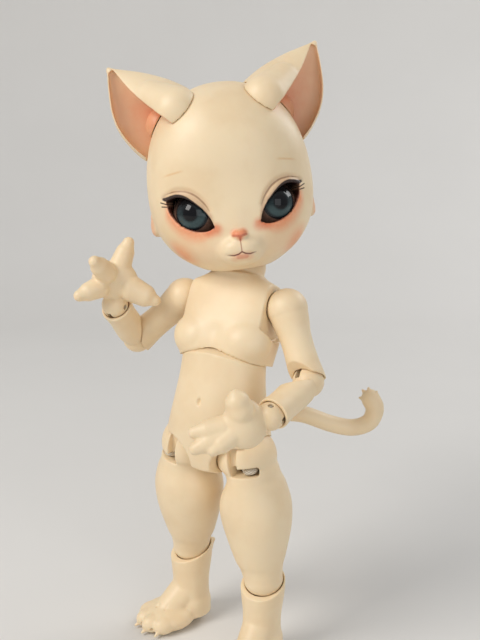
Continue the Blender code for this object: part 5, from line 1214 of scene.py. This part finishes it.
def eye_coat(side, sign):
    coat = PaintedCoat(f"{side}_glass", 0.05, Specular_IOR_Level=0.32)
    gaze, middle = on_side(EYE_GAZE, sign).normalized(), on_side(EYE_SPOT, sign)
    right = Vector((0, 0, 1)).cross(gaze).normalized()
    across = coat.along(coat.spot, right, middle)
    up = coat.along(coat.spot, gaze.cross(right), middle)
    reach = coat.length(across, up)
    least = coat.maths("MAXIMUM", reach, 0.2)
    rays = {0: coat.maths("DIVIDE", across, least), 1: coat.maths("DIVIDE", up, least),
            2: coat.times(reach, 0.12)}
    rays = coat.node("ShaderNodeCombineXYZ", rays).outputs[0]
    fibre = coat.rising(coat.noise(7.0, 4.0, 0.7, rays), 0.42, 0.66)
    crescent = (coat.rising(reach, PUPIL, 3.6), coat.soft(reach, 4.4, 5.3),
                coat.soft(up, -3.2, 0.6))
    veins = coat.rising(coat.noise(700.0, 5.0, 0.7), 0.35, 0.75)
    # The white is painted a dark greyish brown as painted shade in the socket, mottled by veins.
    white = coat.blend(veins, (0.17, 0.10, 0.07), (0.10, 0.05, 0.035))
    colour = coat.blend(coat.rising(reach, 2.0, 5.0), (0.006, 0.010, 0.011), (0.012, 0.026, 0.029))
    # The last layer darkens the upper part of the eye: a painted shadow of the lid.
    for mask, paint in ((coat.times(*crescent, 0.85), (0.055, 0.095, 0.098)),
                        (coat.times(fibre, 0.45), (0.035, 0.056, 0.058)),
                        (coat.soft(reach, PUPIL, 2.9), BLACK),
                        (coat.rising(reach, 4.9, IRIS), RING),
                        (coat.rising(reach, 5.7, 6.1), white),
                        (coat.soft(up, 0.2, 3.6, 0.0, 0.90), LID_SHADOW)):
        colour = coat.blend(mask, colour, paint)
    return coat.done(colour)


def glass_eye(sign):
    gaze, middle = on_side(EYE_GAZE, sign).normalized(), on_side(EYE_SPOT, sign)
    bulge = shape(ball, 6.4, middle + gaze * 3.2, segments=64)
    front = shape(block, (-40, -60, 0), (40, middle.y + 3, 45))
    eye = shape(ball, EYE_RADIUS, middle, segments=72)
    return melt(carve(eye, [(JOIN, bulge), (KEEP, front)]), 0.3, 3)


for side, sign in SIDES.items():
    piece_of(f"{side}_glass_eye", glass_eye(sign), "neck_joint", "head", eye_coat(side, sign),
             f"{side}_eye")

# %% [markdown]
# ## A node group for cords and wires
# The group sweeps a circle along a route and lifts two families of crossing ribs on it.
# The ribs go over and under each other like the cover of a braided elastic. With no lift it
# makes plain wire, and with a swell the route's ends close in to a bead.

# %%
CORD_INPUTS = (("Geometry", "Geometry", None), ("Radius", "Float", 0.001),
               ("Step", "Float", 0.0002), ("Pitch", "Float", 0.001), ("Lift", "Float", 0.12),
               ("Swell", "Float", 0.0), ("Sides", "Int", 40), ("Carriers", "Int", 8),
               ("Coat", "Material", None))
cord_nodes = bpy.data.node_groups.new("braided_cord", "GeometryNodeTree")
SOCKETS = {}
for name, kind, start in CORD_INPUTS:
    socket = cord_nodes.interface.new_socket(name, in_out="INPUT",
                                             socket_type=f"NodeSocket{kind}")
    SOCKETS[name] = socket.identifier
    if start is not None:
        socket.default_value = start
cord_nodes.interface.new_socket("Geometry", in_out="OUTPUT", socket_type="NodeSocketGeometry")
print("cord inputs", list(SOCKETS))

# %% [markdown]
# ## The sweep
# The route is cut to even steps. Its length so far and the turn round the circle are captured,
# since the ribs are worked out from them after the sweep.

# %%
def capture(board, geometry, **values):
    """The geometry's outputs with values kept on its points under their names."""
    kept = board.tree.nodes.new("GeometryNodeCaptureAttribute")
    board.put(geometry, kept.inputs["Geometry"])
    for name, value in values.items():
        kept.capture_items.new("FLOAT", name)
        board.put(value, kept.inputs[name])
    return kept.outputs


def cord_sweep(board, given):
    """A tube with its girth, and the outputs that hold its length so far and its turn."""
    line = board.node("GeometryNodeMeshToCurve", {0: given["Geometry"]}).outputs[0]
    line = board.node("GeometryNodeResampleCurve", {"Curve": line, "Length": given["Step"]},
                      mode="LENGTH").outputs[0]
    spline = board.node("GeometryNodeSplineParameter").outputs
    off_middle = board.minus(board.times(spline["Factor"], 2.0), 1.0)
    left = board.maths("MAXIMUM", board.minus(1.0, board.times(off_middle, off_middle)), 0.02)
    girth = board.maths("ADD", board.times(given["Swell"], board.maths("SQRT", left)),
                        board.minus(1.0, given["Swell"]))
    route = capture(board, line, along=spline["Length"], girth=girth)
    circle = board.node("GeometryNodeCurvePrimitiveCircle",
                        {"Resolution": given["Sides"], "Radius": given["Radius"]}).outputs[0]
    rim = capture(board, circle,
                  turn=board.node("GeometryNodeSplineParameter").outputs["Factor"])
    thick = board.node("GeometryNodeSetCurveRadius",
                       {"Curve": route["Geometry"], "Radius": route["girth"]}).outputs[0]
    sweep = board.node("GeometryNodeCurveToMesh", {
        "Curve": thick, "Profile Curve": rim["Geometry"], "Fill Caps": True})
    if "Scale" in sweep.inputs:
        board.put(route["girth"], sweep.inputs["Scale"])
    return sweep.outputs[0], route["along"], rim["turn"]


print("sweep for", cord_nodes.name)

# %% [markdown]
# ## The ribs
# The height of the ribs is kept on the mesh, because the coat of the elastic paints shade between
# the ribs by it.

# %%
def fill_cord_group():
    board = Board(cord_nodes)
    given = board.node("NodeGroupInput").outputs
    tube, along, turn = cord_sweep(board, given)
    round_way = board.times(turn, given["Carriers"], pi)
    long_way = board.times(board.maths("DIVIDE", along, given["Pitch"]), pi)
    left, right = (board.maths("SINE", board.maths(sum_or_gap, round_way, long_way))
                   for sum_or_gap in ("ADD", "SUBTRACT"))
    over = board.maths("GREATER_THAN", board.times(left, right), 0.0)
    high = board.maths("MAXIMUM", board.times(board.maths("ABSOLUTE", left), over),
                       board.times(board.maths("ABSOLUTE", right), board.minus(1.0, over)))
    rib = board.node("GeometryNodeStoreNamedAttribute",
                     {"Geometry": tube, "Name": "rib", "Value": high}, data_type="FLOAT",
                     domain="POINT").outputs[0]
    lift = board.times(board.minus(high, 1.0), given["Lift"], given["Radius"])
    normal = board.node("GeometryNodeInputNormal").outputs[0]
    out = board.node("ShaderNodeVectorMath", {0: normal, "Scale": lift}, operation="SCALE")
    pushed = board.node("GeometryNodeSetPosition", {"Geometry": rib, "Offset": out.outputs[0]})
    solid = board.node("GeometryNodeRealizeInstances", {0: pushed.outputs[0]}).outputs[0]
    painted = board.node("GeometryNodeSetMaterial", {"Geometry": solid, "Material": given["Coat"]})
    board.node("NodeGroupOutput", {0: painted.outputs[0]})


fill_cord_group()
print("cord group", len(cord_nodes.nodes), "nodes")

# %% [markdown]
# ## Coats of the inner parts
# The elastic is off white, with painted shade in the low places between its ribs, and the wire,
# the magnets and the putty get their own scratches, haze and crumbs.

# %%
def thread_coat():
    coat = Coat("braided_elastic", 0.85)
    threads = coat.noise(5200.0, 3.0, 0.8)
    # Low places between the ribs are painted a darker tan, as painted shade.
    colour = coat.blend(coat.rising(coat.attribute("rib"), 0.30, 0.90), (0.50, 0.40, 0.27),
                        (0.83, 0.77, 0.66))
    coat.relief(threads, 0.5, 0.00008)
    return coat.done(coat.blend(coat.times(threads, 0.4), colour, (0.68, 0.60, 0.47)))


def inner_coat(name, roughness, dark, light, scale, metal, relief):
    coat = Coat(name, roughness, Metallic=metal)
    haze = coat.noise(scale, 5.0, 0.65)
    coat.put(coat.maths("MULTIPLY_ADD", haze, 0.3, roughness - 0.12), coat.inputs["Roughness"])
    coat.relief(haze, relief, 0.00012)
    return coat.done(coat.blend(coat.rising(haze, 0.35, 0.68), dark, light))


braid = thread_coat()
wire = inner_coat("steel_wire", 0.30, (0.47, 0.47, 0.48), (0.68, 0.68, 0.69), 1400.0, 1.0, 0.15)
nickel = inner_coat("nickel_magnet", 0.26, (0.56, 0.54, 0.50), (0.72, 0.71, 0.68), 700.0, 1.0, 0.12)
putty = inner_coat("eye_putty", 0.78, (0.70, 0.66, 0.57), (0.84, 0.81, 0.74), 900.0, 0.0, 0.9)
print("coats", braid.name, wire.name, nickel.name, putty.name)

# %% [markdown]
# ## Along a route
# The node group makes a mesh from a line of points, and a piece is made from that mesh.

# %%
def swept(joint, points, facts):
    """The mesh that the cord group makes along points in a joint's millimetres."""
    rows = fine(points, 8) if len(points) > 2 else points
    place = Matrix.Scale(MM, 4) @ place_of(joint)
    mesh = bpy.data.meshes.new("route")
    mesh.from_pydata([place @ Vector(row) for row in rows],
                     [(number, number + 1) for number in range(len(rows) - 1)], [])
    line = bpy.data.objects.new("route", mesh)
    bpy.context.collection.objects.link(line)
    maker = line.modifiers.new("cord", "NODES")
    maker.node_group = cord_nodes
    for key, value in facts.items():
        maker[SOCKETS[key]] = value
    graph = bpy.context.evaluated_depsgraph_get()
    solid = bpy.data.meshes.new_from_object(line.evaluated_get(graph))
    bpy.data.objects.remove(line, do_unlink=True)
    return solid


def elastic(node, joint, body, points, radius, swell=0.0):
    """A length of braided cord; with a swell it is a bead of that radius."""
    if swell:
        points = [(0, 0, -swell), (0, 0, swell)]
    facts = {"Coat": braid, "Radius": radius * MM, "Step": 0.00016, "Pitch": 0.0009, "Lift": 0.17,
             "Carriers": 8, "Sides": 40, "Swell": 1.0 if swell else 0.0}
    solid = swept(joint, points, facts)
    hand_over(f"{node}_cord", solid, body, node)
    return len(solid.polygons)


def metal(node, joint, body, points, radius):
    """A hook or a pin of plain wire."""
    facts = {"Coat": wire, "Radius": radius * MM, "Step": 0.0003, "Lift": 0.0, "Sides": 20,
             "Swell": 0.0}
    solid = swept(joint, points, facts)
    hand_over(f"{node}_wire", solid, body, node)
    return len(solid.polygons)


print("sweeping with", cord_nodes.name)

# %% [markdown]
# ## Elastics
# Each cord follows its route through the bores. Where a cord flexes at a ball's centre it is a
# short bead of the same braid. The spine's cord bows to pass behind the chest.

# %%
LEG_CORD, ARM_CORD, LEG_BEAD, ARM_BEAD, FROM_BEAD = 1.2, 0.9, 1.6, 1.2, 1.7
TAIL_BEND = Vector(TAIL_ROUTE[1])
ARM_RUN = SHOULDER_OUT - FROM_BEAD
SPINE = [(0, NECK * y, NECK * z) for y, z in (
    (0, 0.06), (0.006, 0.27), (0.02, 0.5), (0.06, 0.655), (0.071, 0.745), (0.046, 0.86),
    (0.019, 0.94))]
LEG_START = (
    (0, -0.05, -0.235), (0.06, -0.26, -0.265), (0.34, -0.66, -0.285), (0.53, -0.54, -0.285),
    (0.38, -0.04, -0.28), (0.16, 0.08, -0.31), (0.06, 0.06, -0.48), (0, 0, -0.85))
HIP_RUN = ((0.19, -0.08, 1.03), (0.4, -0.056, 1.013), (0.68, -0.024, 0.987), (0.91, 0, 0.9),
           (1, 0, 0.74), (1, 0, 0.14))
TRUNK = (
    ("torso_elastic", "waist_joint", "chest", SPINE, LEG_CORD),
    ("waist_elastic", "waist_joint", "waist_turning", (), LEG_BEAD, LEG_BEAD),
    ("neck_elastic", "neck_turn", "neck_turning", (), LEG_BEAD, LEG_BEAD),
    ("chest_arm_elastic", "waist_joint", "chest",
     [(-ARM_RUN, 0, ARM_LEVEL), (ARM_RUN, 0, ARM_LEVEL)], ARM_CORD),
    ("tail_inner_elastic", "pelvis_frame", "pelvis",
     [TAIL_SEAT + TAIL_WAY * FROM_BEAD, TAIL_SEAT + TAIL_WAY * 12.0], ARM_CORD),
    ("tail_bead", "tail_joint", "tail_turning", (), ARM_BEAD, ARM_BEAD),
    ("tail_elastic", "tail_joint", "tail_body",
     [TAIL_BEND.normalized() * FROM_BEAD, TAIL_BEND.normalized() * (TAIL_BEND.length - GAP)],
     ARM_CORD))


def limb_cords(side, sign):
    """The elastics and beads of one arm and one leg."""
    shoulder, elbow, hip = (f"{side}_{name}_joint" for name in ("shoulder", "elbow", "hip"))
    start = (0, 0, -FROM_BEAD)
    hip_run = [(sign * HIP_OUT * x, HIP_OUT * y, WAIST_LEVEL * z) for x, y, z in HIP_RUN]
    leg_run = [(sign * HIP_BALL * x, HIP_BALL * y, HIP_BALL * z) for x, y, z in LEG_START]
    return (
        (f"{side}_shoulder_bead", shoulder, f"{side}_shoulder_turning", (), ARM_BEAD, ARM_BEAD),
        (f"{side}_upper_arm_elastic", shoulder, f"{side}_upper_arm_body",
         [start, (0, 0, FROM_BEAD - UPPER_ARM)], ARM_CORD),
        (f"{side}_elbow_bead", elbow, f"{side}_upper_arm_body", (), ARM_BEAD, ARM_BEAD),
        (f"{side}_forearm_elastic", elbow, f"{side}_forearm_body",
         [start, (0, 0, 6.1 - FOREARM)], ARM_CORD),
        (f"{side}_hip_elastic", "pelvis_frame", "pelvis", hip_run, LEG_CORD),
        (f"{side}_hip_bead", hip, f"{side}_hip_turning", (), LEG_BEAD, LEG_BEAD),
        (f"{side}_leg_elastic", hip, f"{side}_thigh", leg_run + [(0, 0, 2.1 - THIGH)], LEG_CORD))


cords = TRUNK + limb_cords("left", 1) + limb_cords("right", -1)
print("elastics", len(cords), "faces", sum(elastic(*facts) for facts in cords))

# %% [markdown]
# ## Hooks and pins
# Bent wire hooks end the cords at the neck, the wrists and the feet, and short pins hold them.

# %%
LOOP = ((0, 1.9), (0.75, 1.0), (1.0, 0.0), (0.7, -0.72), (0, -1.0), (-0.7, -0.72), (-1.0, 0.0),
        (-0.8, 0.7))
NECK_RISE, HOOK_WIRE = NECK_BALL + 2.6, 0.6
NECK_HOOK = ((0.38, 1.345), (0.18, 1.37), (0.045, 1.30), (0, 1.14), (0, 0.7), (0, 0.185))


def looped(top, size, level=0.0):
    """A hook's line from a straight top to a loop of a size at a level."""
    return [(0, 0, top)] + [(0, size * x, size * z + level) for x, z in LOOP]


count = metal("neck_hook", "neck_joint", "head",
              [(NECK_RISE * x, 0, NECK_RISE * z) for x, z in NECK_HOOK], HOOK_WIRE)
for side in SIDES:
    pin, hock, foot = WRIST_PIN[side], f"{side}_hock_joint", f"{side}_foot"
    count += metal(f"{side}_wrist_hook", f"{side}_wrist_turn", f"{side}_wrist_turning",
                   looped(5.5, 1.6), HOOK_WIRE)
    count += metal(f"{side}_wrist_pin", f"{side}_wrist_joint", f"{side}_hand_body",
                   [-pin * 4.2, pin * 4.2], 0.7)
    count += metal(f"{side}_foot_hook", hock, foot, looped(0.6, 1.8, FOOT_PIN_LEVEL), HOOK_WIRE)
    count += metal(f"{side}_foot_pin", hock, foot,
                   [(-5.6, 0, FOOT_PIN_LEVEL), (5.6, 0, FOOT_PIN_LEVEL)], 0.9)
print("hooks and pins", count, "faces")

# %% [markdown]
# ## Magnets and putty
# The magnets are small plated discs with a chamfer. The putty is a hand pressed ring behind each
# eye.

# %%
CAP_MAGNET, EAR_MAGNET, CHAMFER = 1.3, 2.0, 0.2
PUTTY_OUT, PUTTY_IN, PUTTY_DEEP = 8.7, 6.0, 2.2


def magnet(node, body, radius, half, ray):
    """A disc with its middle where the CAD has it, facing along a ray."""
    narrow = radius - CHAMFER
    rows = [(-half, *[narrow] * 3), (CHAMFER - half, *[radius] * 3),
            (half - CHAMFER, *[radius] * 3), (half, *[narrow] * 3)]
    turn = ray.to_track_quat("Z", "Y").to_matrix().to_4x4()
    mesh = moved(shape(loft, rows, 64, steps=1), turn)
    piece_of(f"{node}_disc", moved(mesh, Matrix.Translation(middle_of(node, "neck_joint"))),
             "neck_joint", body, nickel, node)


def putty_ring(sign):
    start = on_side(EYE_SPOT, sign) + Vector((0, 3.3, 0))
    ring = carve(bore(start, start + Vector((0, PUTTY_DEEP, 0)), PUTTY_OUT, sides=72),
                 [(CUT, bore(start - Vector((0, 2, 0)), start + Vector((0, 5, 0)), PUTTY_IN,
                             sides=72))])
    mesh = melt(ring, 0.30, 6)
    for vertex in mesh.vertices:
        vertex.co += vertex.normal * (0.28 * lump(vertex.co * 0.45) - 0.12)
    return mesh


for side, sign in SIDES.items():
    magnet(f"shell_magnet_{side}", "head", CAP_MAGNET, 0.75, FACING)
    magnet(f"cap_magnet_{side}", "cap", CAP_MAGNET, 0.75, FACING)
    magnet(f"{side}_head_magnet", "head", EAR_MAGNET, 0.75, EAR_RAY[side])
    magnet(f"{side}_ear_magnet", f"{side}_ear", EAR_MAGNET, 0.675, EAR_RAY[side])
    piece_of(f"{side}_putty_ring", putty_ring(sign), "neck_joint", "head", putty,
             f"{side}_eye_putty")

# %% [markdown]
# ## Floor
# A pale plain floor curves up behind the doll, square to the camera.

# %%
CAMERA_SWING = radians(32.3)
FLOOR_HALF, BEND_START, BEND = 1.6, 0.5, 0.35


def plain_floor():
    bend = [(BEND_START + BEND * sin(radians(a)), BEND - BEND * cos(radians(a)))
            for a in range(0, 91, 6)]
    path = [(-0.9, 0.0)] + bend + [(0.85, 1.6)]
    work = bmesh.new()
    near, far = [[work.verts.new((x, y, z)) for y, z in path] for x in (-FLOOR_HALF, FLOOR_HALF)]
    for number in range(len(path) - 1):
        work.faces.new((near[number], far[number], far[number + 1], near[number + 1]))
    mesh = bpy.data.meshes.new("floor")
    work.to_mesh(mesh)
    work.free()
    coat = Coat("pale_floor", 0.8)
    tone = coat.blend(coat.noise(9.0, 3.0), (0.70, 0.685, 0.66), (0.74, 0.725, 0.70))
    mesh.materials.append(coat.done(tone))
    mesh.shade_smooth()
    floor = bpy.data.objects.new("floor", mesh)
    bpy.context.collection.objects.link(floor)
    floor.rotation_euler = (0, 0, CAMERA_SWING)


plain_floor()
print("floor ready")

# %% [markdown]
# ## Light and camera
# Three large soft lights and a pale world light the doll. The camera stands where the photograph
# was taken from.

# %%
LIGHTS = (  # name, where, aim, size, power, colour
    ("key", (-0.35, -0.75, 0.75), (0, 0, 0.12), 0.5, 6.6, (1.0, 0.97, 0.93)),
    ("fill", (0.85, -0.55, 0.35), (0, 0, 0.12), 0.7, 2.0, (0.96, 0.98, 1.0)),
    ("rim", (0.3, 0.8, 0.7), (0, 0, 0.14), 0.5, 3.0, (1.0, 1.0, 1.0)))
for name, where, aim, size, power, colour in LIGHTS:
    lamp = bpy.data.lights.new(name, "AREA")
    lamp.size, lamp.energy, lamp.color = size, power, colour
    light = bpy.data.objects.new(name, lamp)
    bpy.context.collection.objects.link(light)
    light.location = where
    light.rotation_euler = (Vector(aim) - Vector(where)).to_track_quat("-Z", "Y").to_euler()
scene = bpy.context.scene
world = bpy.data.worlds.new("studio")
world.use_nodes = True
sky = world.node_tree.nodes["Background"].inputs
sky["Color"].default_value, sky["Strength"].default_value = (0.9, 0.92, 0.95, 1), 0.42
scene.world = world

lens = bpy.data.cameras.new("photo_camera")
lens.sensor_fit = "VERTICAL"
lens.angle = radians(40.7)
lens.clip_start = 0.01
camera = bpy.data.objects.new("photo_camera", lens)
bpy.context.collection.objects.link(camera)
rise = radians(12.9)
back = Vector((sin(CAMERA_SWING) * cos(rise), -cos(CAMERA_SWING) * cos(rise), sin(rise)))
camera.location = (Vector((10.58, -7.42, 128.7)) + back * 304) * MM
camera.rotation_mode = "QUATERNION"
camera.rotation_quaternion = (back.to_track_quat("Z", "Y")
                              @ Quaternion((0, 0, 1), radians(1.4)))
scene.camera = camera
scene.view_settings.view_transform = "Standard"
print("camera at", tuple(round(value, 3) for value in camera.location))
